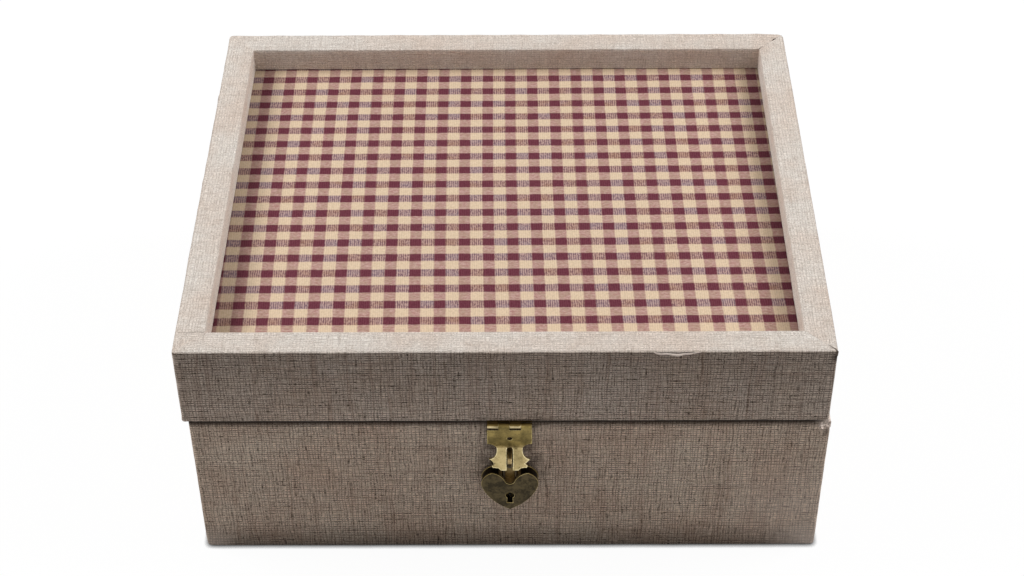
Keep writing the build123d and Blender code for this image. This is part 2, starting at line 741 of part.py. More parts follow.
with BuildPart() as staple_plate:
    with BuildSketch(Plane.XZ.offset(body_front)):
        with Locations((0, plate_z)):
            RectangleRounded(plate_width, plate_tall, plate_thick)
        with Locations(*[(0, z) for z in leg_z]):
            Rectangle(loop_width + 2 * pilot, loop_strip + 2 * pilot, mode=Mode.SUBTRACT)
        with Locations(*[(x, loop_z) for x in nail_x]):
            Circle(nail_r + pilot, mode=Mode.SUBTRACT)
    extrude(amount=plate_thick)
save(staple_plate, "staple_plate")

with BuildPart() as staple_loop:
    root_y = -(body_front - loop_root)
    with BuildSketch(Plane.YZ.offset(-loop_width / 2)):
        with Locations((loop_y, loop_z)):
            Circle(loop_r)
        with Locations(((root_y + loop_y) / 2, loop_z)):
            Rectangle(root_y - loop_y, 2 * loop_r)
        with Locations((loop_y, loop_z)):
            Circle(loop_r - loop_strip, mode=Mode.SUBTRACT)
        with Locations(((root_y + loop_y) / 2, loop_z)):
            Rectangle(root_y - loop_y, 2 * (loop_r - loop_strip), mode=Mode.SUBTRACT)
    extrude(amount=loop_width)
save(staple_loop, "staple_loop")

with BuildPart() as staple_nails:
    with BuildSketch(Plane.XZ.offset(body_front + plate_thick)):
        with Locations(*[(x, loop_z) for x in nail_x]):
            Circle(nail_head_r)
    extrude(amount=nail_head_tall, taper=30)
    with BuildSketch(Plane.XZ.offset(body_front + plate_thick)):
        with Locations(*[(x, loop_z) for x in nail_x]):
            Circle(nail_r)
    extrude(amount=-nail_long)
save(staple_nails, "staple_nails")

# =============================================================================
# Padlock. Heights are measured down from the tops of the heart's lobes.
# =============================================================================
def on_heart(across, down):
    """A point of the heart, across and down as shares of its half width and height."""
    return (across * heart_half, lock_z - down * heart_tall)


def heart(reach, inset=0.0):
    """The heart's face, reach in front of the origin, drawn in all round by inset."""
    valley_end = on_heart(0.165, 0.231)
    lobe_start = on_heart(0.589, 0.003)
    lobe_end = on_heart(0.667, 0.006)
    widest = on_heart(0.973, 0.392)
    tip_start = on_heart(0.045, 0.986)
    with BuildSketch(Plane.XZ.offset(reach)) as face:
        with BuildLine():
            ThreePointArc(on_heart(0, 0.298), on_heart(0.103, 0.279), valley_end)
            ThreePointArc(valley_end, on_heart(0.324, 0.088), lobe_start)
            ThreePointArc(lobe_start, on_heart(0.628, 0), lobe_end)
            ThreePointArc(lobe_end, on_heart(0.953, 0.167), widest)
            ThreePointArc(widest, on_heart(0.643, 0.721), tip_start)
            mirror(about=Plane.YZ)
            ThreePointArc(tip_start, on_heart(0, 1), on_heart(-0.045, 0.986))
        make_face()
        if inset > 0:
            offset(amount=-inset, mode=Mode.REPLACE)
    return face.sketch


with BuildPart() as lock_front_plate:
    extrude(heart(cavity_front), amount=face_sheet)
    with BuildSketch(Plane.XZ.offset(lock_face)):
        key_z = lock_z - key_down
        foot_z = key_z - key_slot_long
        with Locations((0, key_z)):
            Circle(key_r)
        with BuildLine():
            Polyline(
                (-key_neck_half, key_z),
                (key_neck_half, key_z),
                (key_foot_half, foot_z),
                (-key_foot_half, foot_z),
                close=True,
            )
        make_face()
    extrude(amount=-face_sheet, mode=Mode.SUBTRACT)
save(lock_front_plate, "lock_front_plate")

# The back plate closes the notch between the lobes, behind the shackle's legs.
with BuildPart() as lock_back_plate:
    extrude(heart(lock_back), amount=face_sheet)
    bridge_tall = 0.3 * heart_tall - bridge_down
    with BuildSketch(Plane.XZ.offset(lock_back)):
        with Locations((0, lock_z - bridge_down - bridge_tall / 2)):
            Rectangle(2 * bridge_half, bridge_tall)
    extrude(amount=face_sheet)
save(lock_back_plate, "lock_back_plate")

with BuildPart() as lock_case_band:
    extrude(heart(cavity_back, band_inset), amount=cavity_front - cavity_back)
    hollow = heart(cavity_back, band_inset + band_sheet)
    extrude(hollow, amount=cavity_front - cavity_back, mode=Mode.SUBTRACT)
    valley_low = lock_z - 0.3 * heart_tall - 3 * band_sheet
    with BuildSketch(Plane.XY.offset(valley_low)):
        with Locations((-arch_r, lock_y), (arch_r, lock_y)):
            Circle(shackle_r + hole_play)
    extrude(amount=lock_z - valley_low, mode=Mode.SUBTRACT)
save(lock_case_band, "lock_case_band")

with BuildPart() as lock_shackle:
    toe_z = lock_z - toe_down
    heel_z = lock_z - heel_down
    with BuildLine():
        Line((-arch_r, lock_y, heel_z), (-arch_r, lock_y, arch_z))
        ThreePointArc((-arch_r, lock_y, arch_z), (0, lock_y, arch_z + arch_r), (arch_r, lock_y, arch_z))
        Line((arch_r, lock_y, arch_z), (arch_r, lock_y, toe_z))
    with BuildSketch(Plane.XY.offset(heel_z)):
        with Locations((-arch_r, lock_y)):
            Circle(shackle_r)
    sweep()
    with BuildSketch(Plane.XY.offset(heel_z)):
        with Locations((-arch_r, lock_y)):
            Circle(heel_collar_r)
    extrude(amount=heel_collar_tall)
    notch_z = lock_z - bolt_tongue_down - bolt_tongue_tall / 2
    with BuildSketch(Plane.YZ.offset(arch_r)):
        with Locations((lock_y, notch_z)):
            Rectangle(2 * shackle_r, bolt_tongue_tall + 2 * hole_play)
    extrude(amount=shackle_r, mode=Mode.SUBTRACT)
save(lock_shackle, "lock_shackle")

# ---- inside the lock --------------------------------------------------------
collar_top = lock_z - heel_down + heel_collar_tall
guide_low = collar_top + shackle_lift + stop_play

with BuildPart() as lock_heel_guide:
    with BuildSketch(Plane.XZ.offset(cavity_back)):
        with Locations((-arch_r, guide_low + guide_tall / 2)):
            Rectangle(2 * guide_half, guide_tall)
    extrude(amount=cavity_front - cavity_back)
    with BuildSketch(Plane.XY.offset(guide_low)):
        with Locations((-arch_r, lock_y)):
            Circle(shackle_r + run)
    extrude(amount=guide_tall, mode=Mode.SUBTRACT)
save(lock_heel_guide, "lock_heel_guide")

tongue_tip = arch_r + shackle_r + bolt_gap
slot_play = 0.1
bolt_pin_z = (
    lock_z - bolt_tongue_down - bolt_tongue_tall - 1.5 * bolt_pin_r,
    lock_z - bolt_low + bolt_tail_tall + 2 * bolt_pin_r,
)
bolt_back = -lock_y - bolt_thick / 2

with BuildPart() as lock_bolt:
    with BuildSketch(Plane.XZ.offset(bolt_back)):
        tongue_top = lock_z - bolt_tongue_down
        bolt_foot = lock_z - bolt_low
        with BuildLine():
            Polyline(
                (tongue_tip, tongue_top),
                (bolt_out, tongue_top),
                (bolt_out, bolt_foot + bolt_tail_tall),
                (bolt_out - bolt_tail_tall, bolt_foot),
                (bolt_tail_in, bolt_foot),
                (bolt_tail_in, bolt_foot + bolt_tail_tall),
                (bolt_in, bolt_foot + bolt_tail_tall),
                (bolt_in, tongue_top - bolt_tongue_tall),
                (tongue_tip, tongue_top - bolt_tongue_tall),
                close=True,
            )
        make_face()
        slot_long = bolt_travel + 2 * bolt_pin_r + 2 * slot_play
        with Locations(*[(bolt_pin_x + bolt_travel / 2, z) for z in bolt_pin_z]):
            SlotOverall(slot_long, 2 * bolt_pin_r + 2 * slot_play, mode=Mode.SUBTRACT)
    extrude(amount=bolt_thick)
save(lock_bolt, "lock_bolt")


def cavity_posts(places, radius):
    """Round posts from the back plate to the front plate, at places in front view."""
    with BuildPart() as posts:
        with BuildSketch(Plane.XZ.offset(cavity_back)):
            with Locations(*places):
                Circle(radius)
        extrude(amount=cavity_front - cavity_back)
    return posts


save(cavity_posts([(bolt_pin_x, z) for z in bolt_pin_z], bolt_pin_r), "lock_bolt_pins")

with BuildPart() as lock_key_post:
    with BuildSketch(Plane.XZ.offset(cavity_back)):
        with Locations((0, lock_z - key_down)):
            Circle(post_r)
    extrude(amount=cavity_front - cavity_back)
save(lock_key_post, "lock_key_post")

with BuildPart() as lock_bolt_spring:
    wall_in = band_inset + band_sheet + spring_play + spring_sheet
    top_end = (heart_half - wall_in, lock_z - side_down)
    low_end = (0.84 * heart_half - wall_in, lock_z - 0.54 * heart_tall)
    bow_x = bolt_out + spring_play + spring_sheet
    bow_z = (top_end[1] + low_end[1]) / 2
    with BuildSketch(Plane.XZ.offset(-lock_y - spring_high / 2)):
        with BuildLine():
            bow = ThreePointArc(top_end, (bow_x, bow_z), low_end)
            offset(bow, amount=spring_sheet / 2)
        make_face()
    extrude(amount=spring_high)
save(lock_bolt_spring, "lock_bolt_spring")

rivet_places = (
    on_heart(-0.62, 0.16),
    on_heart(0.62, 0.16),
    on_heart(-0.55, 0.66),
    on_heart(0, 0.86),
)
save(cavity_posts(rivet_places, rivet_r), "lock_case_rivets")
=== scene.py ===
# %% [markdown]
# # A linen-covered keepsake box with a gingham lid
#
# The box is bookbinder's work: boards wrapped in woven linen, a sunk lid panel covered in
# gingham, two brass hinges at the back, and a small brass hasp with a heart padlock in front.
# The construction comes packed as named solids. Here each visible piece gets the finish,
# the soft edges and the small wear of the real one, and nothing that moves is shifted.

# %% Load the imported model
import json
from math import ceil, cos, pi, radians, sin

import bmesh
import bpy
from mathutils import Matrix, Vector, noise


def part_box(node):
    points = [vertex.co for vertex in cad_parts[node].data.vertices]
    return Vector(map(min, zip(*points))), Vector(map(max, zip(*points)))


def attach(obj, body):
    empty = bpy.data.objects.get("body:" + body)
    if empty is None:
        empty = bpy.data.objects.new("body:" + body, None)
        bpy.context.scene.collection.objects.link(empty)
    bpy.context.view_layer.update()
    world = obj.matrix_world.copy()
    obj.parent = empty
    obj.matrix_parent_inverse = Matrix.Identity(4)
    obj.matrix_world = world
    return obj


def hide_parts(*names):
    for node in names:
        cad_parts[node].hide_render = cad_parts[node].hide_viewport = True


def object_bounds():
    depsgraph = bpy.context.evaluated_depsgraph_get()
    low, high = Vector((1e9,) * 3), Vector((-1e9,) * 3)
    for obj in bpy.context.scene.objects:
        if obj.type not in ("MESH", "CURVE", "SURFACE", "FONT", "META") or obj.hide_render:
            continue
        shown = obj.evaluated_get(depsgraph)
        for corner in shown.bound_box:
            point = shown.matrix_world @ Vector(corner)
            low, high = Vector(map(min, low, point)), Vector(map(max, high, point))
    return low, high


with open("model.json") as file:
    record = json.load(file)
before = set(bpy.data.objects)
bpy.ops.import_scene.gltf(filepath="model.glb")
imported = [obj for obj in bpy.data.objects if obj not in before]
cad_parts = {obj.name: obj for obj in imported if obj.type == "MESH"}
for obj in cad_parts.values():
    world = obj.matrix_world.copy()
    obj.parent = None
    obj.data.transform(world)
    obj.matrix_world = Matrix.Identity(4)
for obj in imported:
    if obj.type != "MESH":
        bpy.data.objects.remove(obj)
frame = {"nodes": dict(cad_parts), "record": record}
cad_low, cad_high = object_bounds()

MM = 0.001
nodes = frame["nodes"]
print("box of the solids, mm:", [round((b - a) / MM, 1) for a, b in zip(cad_low, cad_high)])

# %% [markdown]
# ## The camera
#
# The box is seen from in front and well above, so that the lid's panel, the frame and the
# hasp all show. A camera is a lens length, a place and three turns. A 70 mm lens about a
# metre away lets the box's sides run together only gently, as in a product picture.

# %% Camera
LENS_MM = 70.36
CAMERA_PLACE = Vector((0.00506, -0.79354, 0.75904))
# In degrees: to the left, down from level, and clockwise about the view.
CAMERA_LEFT = 0.299
CAMERA_DOWN = 41.412
CAMERA_ROLL = -0.362

camera_data = bpy.data.cameras.new("camera")
camera_data.lens = LENS_MM
camera_data.sensor_width = 36.0
camera = bpy.data.objects.new("camera", camera_data)
bpy.context.scene.collection.objects.link(camera)
camera.matrix_world = (
    Matrix.Translation(CAMERA_PLACE)
    @ Matrix.Rotation(radians(CAMERA_LEFT), 4, "Z")
    @ Matrix.Rotation(radians(90 - CAMERA_DOWN), 4, "X")
    @ Matrix.Rotation(radians(CAMERA_ROLL), 4, "Z")
)
bpy.context.scene.camera = camera
bpy.context.scene.view_settings.view_transform = "Standard"
print("camera looks along", [round(x, 3) for x in camera.matrix_world.to_3x3() @ Vector((0, 0, -1))])

# %% [markdown]
# ## Two helpers for materials
#
# Every finish below is a tree of nodes, so one small function adds a node, sets it and
# links it, and returns the output that the next node reads. Colours are written as the
# familiar sRGB hex values. Blender counts light in linear values, so one function converts.
# A colour is built up in layers, as a maker would: each layer is a share and a tint, and a
# Mix node lays it over what is there.

# %% Node and colour helpers
def linear(hex_colour):
    """An sRGB hex colour, such as "d9cfc3", as linear RGBA."""
    values = [int(hex_colour[i : i + 2], 16) / 255 for i in (0, 2, 4)]
    return [v / 12.92 if v <= 0.04045 else ((v + 0.055) / 1.055) ** 2.4 for v in values] + [1.0]


def pick(sockets, key):
    """A socket by its place, or by its identifier or name."""
    if isinstance(key, int):
        return sockets[key]
    return next(s for s in sockets if key in (s.identifier, s.name))


def add(tree, kind, feeds=(), out=0, **settings):
    """Adds a shader node with its settings, sets or links its inputs, and returns one output.

    Feeds are values or outputs, by place or by name, and a string is a hex colour.
    """
    node = tree.nodes.new("ShaderNode" + kind)
    for name, value in settings.items():
        setattr(node, name, value)
    for key, value in feeds.items() if isinstance(feeds, dict) else enumerate(feeds):
        socket = pick(node.inputs, key)
        if isinstance(value, bpy.types.NodeSocket):
            tree.links.new(value, socket)
        else:
            socket.default_value = linear(value) if isinstance(value, str) else value
    return pick(node.outputs, out) if node.outputs else node


# What a Mix node needs to blend two colours.
BLEND = {"out": "Result_Color", "data_type": "RGBA"}


def new_material(name):
    """An empty material and its node tree."""
    material = bpy.data.materials.new(name)
    material.use_nodes = True
    material.node_tree.nodes.clear()
    return material, material.node_tree


print("mid grey, 808080, is", round(linear("808080")[0], 3), "in linear light")

# %% [markdown]
# ## Floor and light
#
# The box stands on a plain white sweep between two large soft lamps, one on each side and a
# little behind, about 40 degrees up. They light the top fully, reach over the frame's side
# rails, and leave the front in soft shade, lit mostly by the floor. The floor is white to
# the eye, with a faint shadow where the box meets it, but it returns a little less than
# three quarters of the light, so that the front stays shaded. Light Path tells the two apart.

# %% Floor
FLOOR_HALF = 4.0
FLOOR_DROP = 0.2 * MM
# The share of the light that the floor returns, how white it looks by itself, and the share of
# the lamps' light that it shows besides, which the box's shadow takes away.
FLOOR_RETURNS = 0.72
WHITE_GLOW = 0.955
SHADOW_SHARE = 0.06
# How far from the box's foot the floor is darker, and how strongly.
CONTACT_REACH = 2.5 * MM
CONTACT_DEPTH = 2.2


def seen_directly(tree):
    """1 for rays that come from the camera, a reflection or glass, and 0 for the rest."""
    kinds = ("Is Camera Ray", "Is Glossy Ray", "Is Transmission Ray")
    from_camera, mirrored, through_glass = [add(tree, "LightPath", out=kind) for kind in kinds]
    either = add(tree, "Math", [from_camera, mirrored], operation="MAXIMUM")
    return add(tree, "Math", [either, through_glass], operation="MAXIMUM")


floor_material, tree = new_material("white_paper_sweep")
contact = add(tree, "AmbientOcclusion", {"Distance": CONTACT_REACH}, out="AO", samples=8)
contact = add(tree, "Math", [contact, CONTACT_DEPTH], operation="POWER")
glow_strength = add(tree, "Math", [contact, WHITE_GLOW], operation="MULTIPLY")
glow = add(tree, "Emission", {"Strength": glow_strength})
shadowed = add(tree, "BsdfDiffuse", {"Color": [SHADOW_SHARE] * 3 + [1.0]})
white = add(tree, "AddShader", [glow, shadowed])
grey = add(tree, "BsdfDiffuse", {"Color": [FLOOR_RETURNS] * 3 + [1.0]})
shown = add(tree, "MixShader", [seen_directly(tree), grey, white])
add(tree, "OutputMaterial", {"Surface": shown})

bm = bmesh.new()
bmesh.ops.create_grid(bm, x_segments=1, y_segments=1, size=FLOOR_HALF)
bmesh.ops.translate(bm, verts=bm.verts, vec=(0, 0, cad_low.z - FLOOR_DROP))
floor_mesh = bpy.data.meshes.new("floor")
bm.to_mesh(floor_mesh)
bm.free()
floor = bpy.data.objects.new("floor", floor_mesh)
floor_mesh.materials.append(floor_material)
bpy.context.scene.collection.objects.link(floor)
print("floor returns", FLOOR_RETURNS, "of the light and is seen at", WHITE_GLOW)

# %% Lamps and sky
# The right lamp's place and width in metres, its power in watts, and the sky's own light.
LAMP_PLACE = Vector((1.36, 0.20, 1.12))
LAMP_SIZE = 0.95
LAMP_WATTS = 18.2
SKY_LIGHT = 0.22

for side in (-1, 1):
    lamp_data = bpy.data.lights.new(f"soft_lamp_{'left' if side < 0 else 'right'}", "AREA")
    lamp_data.size = LAMP_SIZE
    lamp_data.energy = LAMP_WATTS
    lamp = bpy.data.objects.new(lamp_data.name, lamp_data)
    lamp.location = (LAMP_PLACE.x * side, LAMP_PLACE.y, LAMP_PLACE.z)
    lamp.rotation_euler = (-lamp.location).to_track_quat("-Z", "Y").to_euler()
    bpy.context.scene.collection.objects.link(lamp)

world = bpy.data.worlds.new("studio")
world.use_nodes = True
world.node_tree.nodes.clear()
tree = world.node_tree
sky = add(tree, "Background", {"Color": (1, 1, 1, 1), "Strength": SKY_LIGHT})
backdrop = add(tree, "Background", {"Color": (1, 1, 1, 1), "Strength": 1.0})
add(tree, "OutputWorld", {"Surface": add(tree, "MixShader", [seen_directly(tree), sky, backdrop])})
bpy.context.scene.world = world

# %% [markdown]
# ## Bookbinder's linen
#
# The covering is a plain-woven linen glued to paper: cream threads with many thin and thick
# places, called slubs, and a darker size showing between them. It is matt, so its roughness
# is high and its gloss low. The weave follows the cloth round every edge, so the material
# reads the cloth's own UV map, which holds metres along the side and round the bends.

# %% Patches, and the crests of yarns
# UV maps and Object coordinates are in metres, and the patterns are worked out in mm.
IN_MM = (1000, 1000, 1000)


def patches(tree, place, stretch, low, high, start=0.0, end=1.0, **feeds):
    """Soft patches of noise on a stretched place: its range low to high becomes start to end."""
    place = add(tree, "VectorMath", [place, stretch], operation="MULTIPLY")
    feeds = {"Vector": place, "Scale": 1.0, "Detail": 2.0, "Roughness": 0.6, **feeds}
    return add(tree, "MapRange", [add(tree, "TexNoise", feeds), low, high, start, end])


def crests(tree, turns):
    """1 along the crest of each yarn and 0 in the groove between two, once every pi turns."""
    wave = add(tree, "Math", [turns], operation="SINE")
    return add(tree, "Math", [wave], operation="ABSOLUTE")


print("patterns are measured in mm, on the cloth or on the piece")

# %% Linen material
# The yarns lie about 0.6 mm apart. They are drawn more than twice as far apart, because
# anything finer than two pixels turns to grey.
WARP_PITCH = 1.42
WEFT_PITCH = 1.36
# The pale gap colour is painted light, for the top and the recess, and the dark one is for the shaded
# sides. The grime colour serves for painted shade as well as dirt.
LINEN = {"thread": "f7efe6", "rose": "f2e2d5", "gap": "32241a", "gap_lit": "a08a76",
         "slub": "8a6a52", "brown": "8f634d", "worn": "ffece0", "grime_and_shade": "2c211b"}
SIDE_SHADE_BLEND_MM = 2.0


def linen(name, seed, shaded, lines_dark, depth, shade_by_height, top_colours_past=1000.0):
    """Woven linen on a UV map in metres.

    On upright sides it takes the two shaded colours, painted shade for the dimmer light there,
    and its gaps are as dark as depth says, darker than on the top, also painted shade.
    Lines_dark is how strongly the gaps along the warp and along the weft show. The height band
    (height from, height to, share) is painted shade: upright cloth keeps only that share of its
    light there. More than the given length in mm along the section, upright cloth takes the
    top's paler colours.
    """
    material, tree = new_material(name)
    uv = add(tree, "VectorMath", [add(tree, "UVMap"), IN_MM], operation="MULTIPLY")
    mm = add(tree, "VectorMath", [uv, (seed * 37.3, seed * 91.7, 0)], operation="ADD")
    # Yarns differ in thickness, so each thread keeps to its line but the lines lie unevenly.
    drift = add(tree, "CombineXYZ", [patches(tree, mm, (0.42, 0.05, 1), 0.2, 0.8, -1.1, 1.1),
                                     patches(tree, mm, (0.05, 0.42, 1), 0.2, 0.8, -0.7, 0.7)])
    cloth = add(tree, "VectorMath", [mm, drift], operation="ADD")
    # Between two threads lies a dark line. Each line comes and goes along its length.
    angle = add(tree, "VectorMath", [cloth, (pi / WARP_PITCH, pi / WEFT_PITCH, 0)], operation="MULTIPLY")
    lines = []
    for axis, stretch, strength in zip("XY", ((0.72, 0.26, 1), (0.32, 0.76, 1)), lines_dark):
        ridge = crests(tree, add(tree, "SeparateXYZ", [angle], out=axis))
        line = add(tree, "MapRange", [ridge, 0.1, 0.95, 1.0, 0.0])
        comes_and_goes = patches(tree, cloth, stretch, 0.36, 0.62, 0.66 * strength, strength)
        lines.append(add(tree, "Math", [line, comes_and_goes], operation="MULTIPLY"))
    gap = add(tree, "Math", lines, operation="MAXIMUM")
    knots = patches(tree, cloth, (1.55, 1.25, 1), 0.36, 0.64, 0.60, 1.14, Detail=1.0)
    gap = add(tree, "Math", [gap, knots], operation="MULTIPLY")
    # The upright outer sides take darker, shaded thread and gap colours than the top and the
    # recess: painted shade, for the dimmer light on them.
    facing = add(tree, "SeparateXYZ", [add(tree, "TexCoord", out="Normal")], out="Z")
    upright = add(tree, "MapRange", [facing, 0.35, 0.95, 1.0, 0.0])
    length = add(tree, "SeparateXYZ", [uv], out="Y")
    side_shade_share = add(tree, "MapRange", [length, top_colours_past, top_colours_past + SIDE_SHADE_BLEND_MM, 1.0, 0.0])
    upright = add(tree, "Math", [upright, side_shade_share], operation="MULTIPLY")
    # The thread's tint is cloudy over 40 mm, on the top and on the sides.
    cloud = patches(tree, mm, (0.028, 0.028, 1), 0.38, 0.66, Detail=3.0)
    top, sides = [
        add(tree, "Mix", {"Factor_Float": cloud, "A_Color": pale, "B_Color": warm}, **BLEND)
        for pale, warm in ((LINEN["thread"], LINEN["rose"]), shaded)
    ]
    colour = add(tree, "Mix", {"Factor_Float": upright, "A_Color": top, "B_Color": sides}, **BLEND)
    # Warm slubs are a few threads long.
    slub = add(tree, "Math", [patches(tree, cloth, (0.60, 0.14, 1), 0.52, 0.72),
                              patches(tree, cloth, (0.12, 0.60, 1), 0.54, 0.74)], operation="MAXIMUM")
    slub_share = add(tree, "Math", [slub, 0.20], operation="MULTIPLY")
    # Some yarns are browner along their whole length, more of them up and down than across, and
    # more of them show on the upright sides, as part of their painted shade.
    brown = add(tree, "Math", [patches(tree, cloth, (0.42, 0.011, 1), 0.50, 0.70, Detail=3.0),
                               patches(tree, cloth, (0.014, 0.50, 1), 0.54, 0.74, Detail=3.0)],
                operation="MAXIMUM")
    brown_most = add(tree, "MapRange", [upright, 0.0, 1.0, 0.08, 0.34])
    brown_share = add(tree, "Math", [brown, brown_most], operation="MULTIPLY")
    for share, tint in ((slub_share, LINEN["slub"]), (brown_share, LINEN["brown"])):
        colour = add(tree, "Mix", {"Factor_Float": share, "A_Color": colour, "B_Color": tint}, **BLEND)
    # Threads are a little darker where the gaps are, and the gaps are darkest on the sides,
    # painted shade for the grazing light there.
    thread_light = add(tree, "MapRange", [knots, 0.60, 1.14, 1.13, 0.86])
    colour = add(tree, "VectorMath", {"Vector": colour, "Scale": thread_light}, operation="SCALE")
    gap_most = add(tree, "MapRange", [upright, 0.0, 1.0, 0.42, depth])
    gap_share = add(tree, "Math", [gap, gap_most], operation="MULTIPLY")
    gap_tint = {"Factor_Float": upright, "A_Color": LINEN["gap_lit"], "B_Color": LINEN["gap"]}
    gap_tint = add(tree, "Mix", gap_tint, **BLEND)
    colour = add(tree, "Mix", {"Factor_Float": gap_share, "A_Color": colour, "B_Color": gap_tint}, **BLEND)
    # Painted shade darkens the upright sides by height: the lid's towards its top, the body's
    # towards its foot.
    height = add(tree, "SeparateXYZ", [add(tree, "TexCoord", out="Object")], out="Z")
    kept = add(tree, "MapRange", [height, shade_by_height[0] * MM, shade_by_height[1] * MM, 1.0, shade_by_height[2]])
    painted_shade = add(tree, "VectorMath", {"Vector": colour, "Scale": kept}, operation="SCALE")
    # Over all of it lie the rubbed places, which show the threads, and the grimy ones, whose
    # attribute holds painted shade as well as dirt.
    worn = add(tree, "Attribute", out="Fac", attribute_name="worn")
    worn = add(tree, "Math", [worn, knots], operation="MULTIPLY")
    grime_and_shade = add(tree, "Attribute", out="Fac", attribute_name="grime_and_shade")
    for share, tint in ((upright, painted_shade), (worn, LINEN["worn"]), (grime_and_shade, LINEN["grime_and_shade"])):
        colour = add(tree, "Mix", {"Factor_Float": share, "A_Color": colour, "B_Color": tint}, **BLEND)
    # Threads stand about a quarter of a millimetre above the gaps between them.
    thick = add(tree, "Math", [knots, slub], operation="ADD")
    relief = add(tree, "Math", [thick, gap], operation="SUBTRACT")
    bump = add(tree, "Bump", {"Height": relief, "Strength": 0.8, "Distance": 0.0003})
    surface = add(tree, "BsdfPrincipled", {"Base Color": colour, "Roughness": 0.92, "Normal": bump,
                                           "Specular IOR Level": 0.12, "Sheen Weight": 0.06,
                                           "Sheen Roughness": 0.5})
    add(tree, "OutputMaterial", {"Surface": surface})
    return material


# The body's sides take lighter shaded colours than the lid's: painted light, for the brighter light on the
# body's front.
lid_linen = linen("bookbinders_linen_lid", 1, ("e1cfc0", "dac4b2"), (0.86, 1.10), 0.95,
                  shade_by_height=(94, 131, 0.76), top_colours_past=76.5)
body_linen = linen("bookbinders_linen_body", 2, ("f1dcc8", "e5cab5"), (0.90, 1.00), 0.93,
                   shade_by_height=(17, 0, 0.44))
print("linen:", lid_linen.name, body_linen.name, "threads", WARP_PITCH, WEFT_PITCH, "mm")

# %% [markdown]
# ## Wrapping a board: one side of the covering
#
# Real linen is cut in strips, glued round the boards and turned in over the edges. Each
# strip is made the same way here: a flat grid is the cut cloth, its rows are bent round the
# board's section, and its ends are drawn in to the corner's mitre and round its upright
# edge. The grid's own measures become the UV map, so the weave is never stretched.

# %% Bending a line round a section
STEP = 2.4 * MM
ARC_STEPS = 3


def bent(corners):
    """Points (inset, height, length so far) along a section of (inset, height, bend radius)."""
    line = [Vector(corners[0][:2])]
    for before, (inset, height, bend), after in zip(corners, corners[1:], corners[2:]):
        corner = Vector((inset, height))
        back = (Vector(before[:2]) - corner).normalized() * bend
        ahead = (Vector(after[:2]) - corner).normalized() * bend
        for k in range(ARC_STEPS + 1):
            angle = pi / 2 * k / ARC_STEPS
            line.append(corner + back * (1 - sin(angle)) + ahead * (1 - cos(angle)))
    line.append(Vector(corners[-1][:2]))
    points, length = [(*line[0], 0.0)], 0.0
    for start, end in zip(line, line[1:]):
        parts = max(1, ceil((end - start).length / STEP))
        for k in range(1, parts + 1):
            at = start.lerp(end, k / parts)
            points.append((*at, length + (end - start).length * k / parts))
        length += (end - start).length
    return points


print("flat cloth has a row every", STEP / MM, "mm, and a bend has", ARC_STEPS, "steps")

# %% Folding one strip
STRIP_UV_STEP = 0.31


def fold_strip(bm, low, high, quarter, section, radii, gapes=(0.0, 0.0)):
    """Adds the strip on one side of the box low to high, some quarter turns on from the front."""
    centre = (low + high) / 2
    size = high - low
    half_long, half_deep = (size.x / 2, size.y / 2) if quarter % 2 == 0 else (size.y / 2, size.x / 2)
    flats = ceil((2 * half_long - sum(radii)) / STEP)
    columns = [("arc", 0, k / ARC_STEPS) for k in range(ARC_STEPS, 0, -1)]
    columns += [("flat", 0, k / flats) for k in range(flats + 1)]
    columns += [("arc", 1, k / ARC_STEPS) for k in range(1, ARC_STEPS + 1)]
    grid = bmesh.ops.create_grid(bm, x_segments=len(columns) - 1, y_segments=len(section) - 1, size=0.5)
    uv = bm.loops.layers.uv.verify()
    turn = Matrix.Rotation(quarter * pi / 2, 3, "Z")
    on_cloth = {}

    def end_at(end, inset):
        """How far from the strip's middle it ends at this inset, with the mitre's small gape."""
        frayed = max(0.0, noise.noise(Vector((inset / (1.6 * MM), end, quarter))) - 0.05)
        return half_long - max(inset, radii[end]) - (gapes[end] * frayed if inset > radii[end] else 0.0)

    for vert in grid["verts"]:
        kind, end, share = columns[round((vert.co.x + 0.5) * (len(columns) - 1))]
        inset, height, length = section[round((vert.co.y + 0.5) * (len(section) - 1))]
        if kind == "flat":
            x = -end_at(0, inset) + share * (end_at(0, inset) + end_at(1, inset))
            u, depth = x, inset
        else:
            sign, radius, angle = (-1, 1)[end], radii[end], share * pi / 4
            reach = max(0.0, radius - inset)
            x = sign * (end_at(end, inset) + reach * sin(angle))
            depth = inset + reach * (1 - cos(angle))
            u = sign * (end_at(end, inset) + (radius * angle if reach else 0.0))
        vert.co = turn @ Vector((x, depth - half_deep, 0))
        vert.co += Vector((centre.x, centre.y, height))
        on_cloth[vert] = (u + quarter * STRIP_UV_STEP, length)
    for face in {f for v in grid["verts"] for f in v.link_faces}:
        for loop in face.loops:
            loop[uv].uv = on_cloth[loop.vert]


print("strips lie", STRIP_UV_STEP, "m apart on the UV map, so no two share their threads")

# %% [markdown]
# ## The hand in the work
#
# Cloth glued on by hand is never quite flat, and it wears and soils where it is touched.
# Noise presses each point of the strips in or out by a fraction of a millimetre. Single
# marks are written as (kind, place in mm, reach in mm, strength). A press is a dent, or a
# swelling where it is negative. Worn and grime are stored on the mesh as attributes that
# the linen's material reads, so the wear stays in its place when the lid opens. The grime
# attribute also carries painted shade: along the seam under the lid, round the hasp, in the
# recess and in the small folds.

# %% Unevenness, wear and thickness
CLOTH_THICK = 0.35 * MM
HAND = 0.16 * MM
MERGE = 0.001 * MM


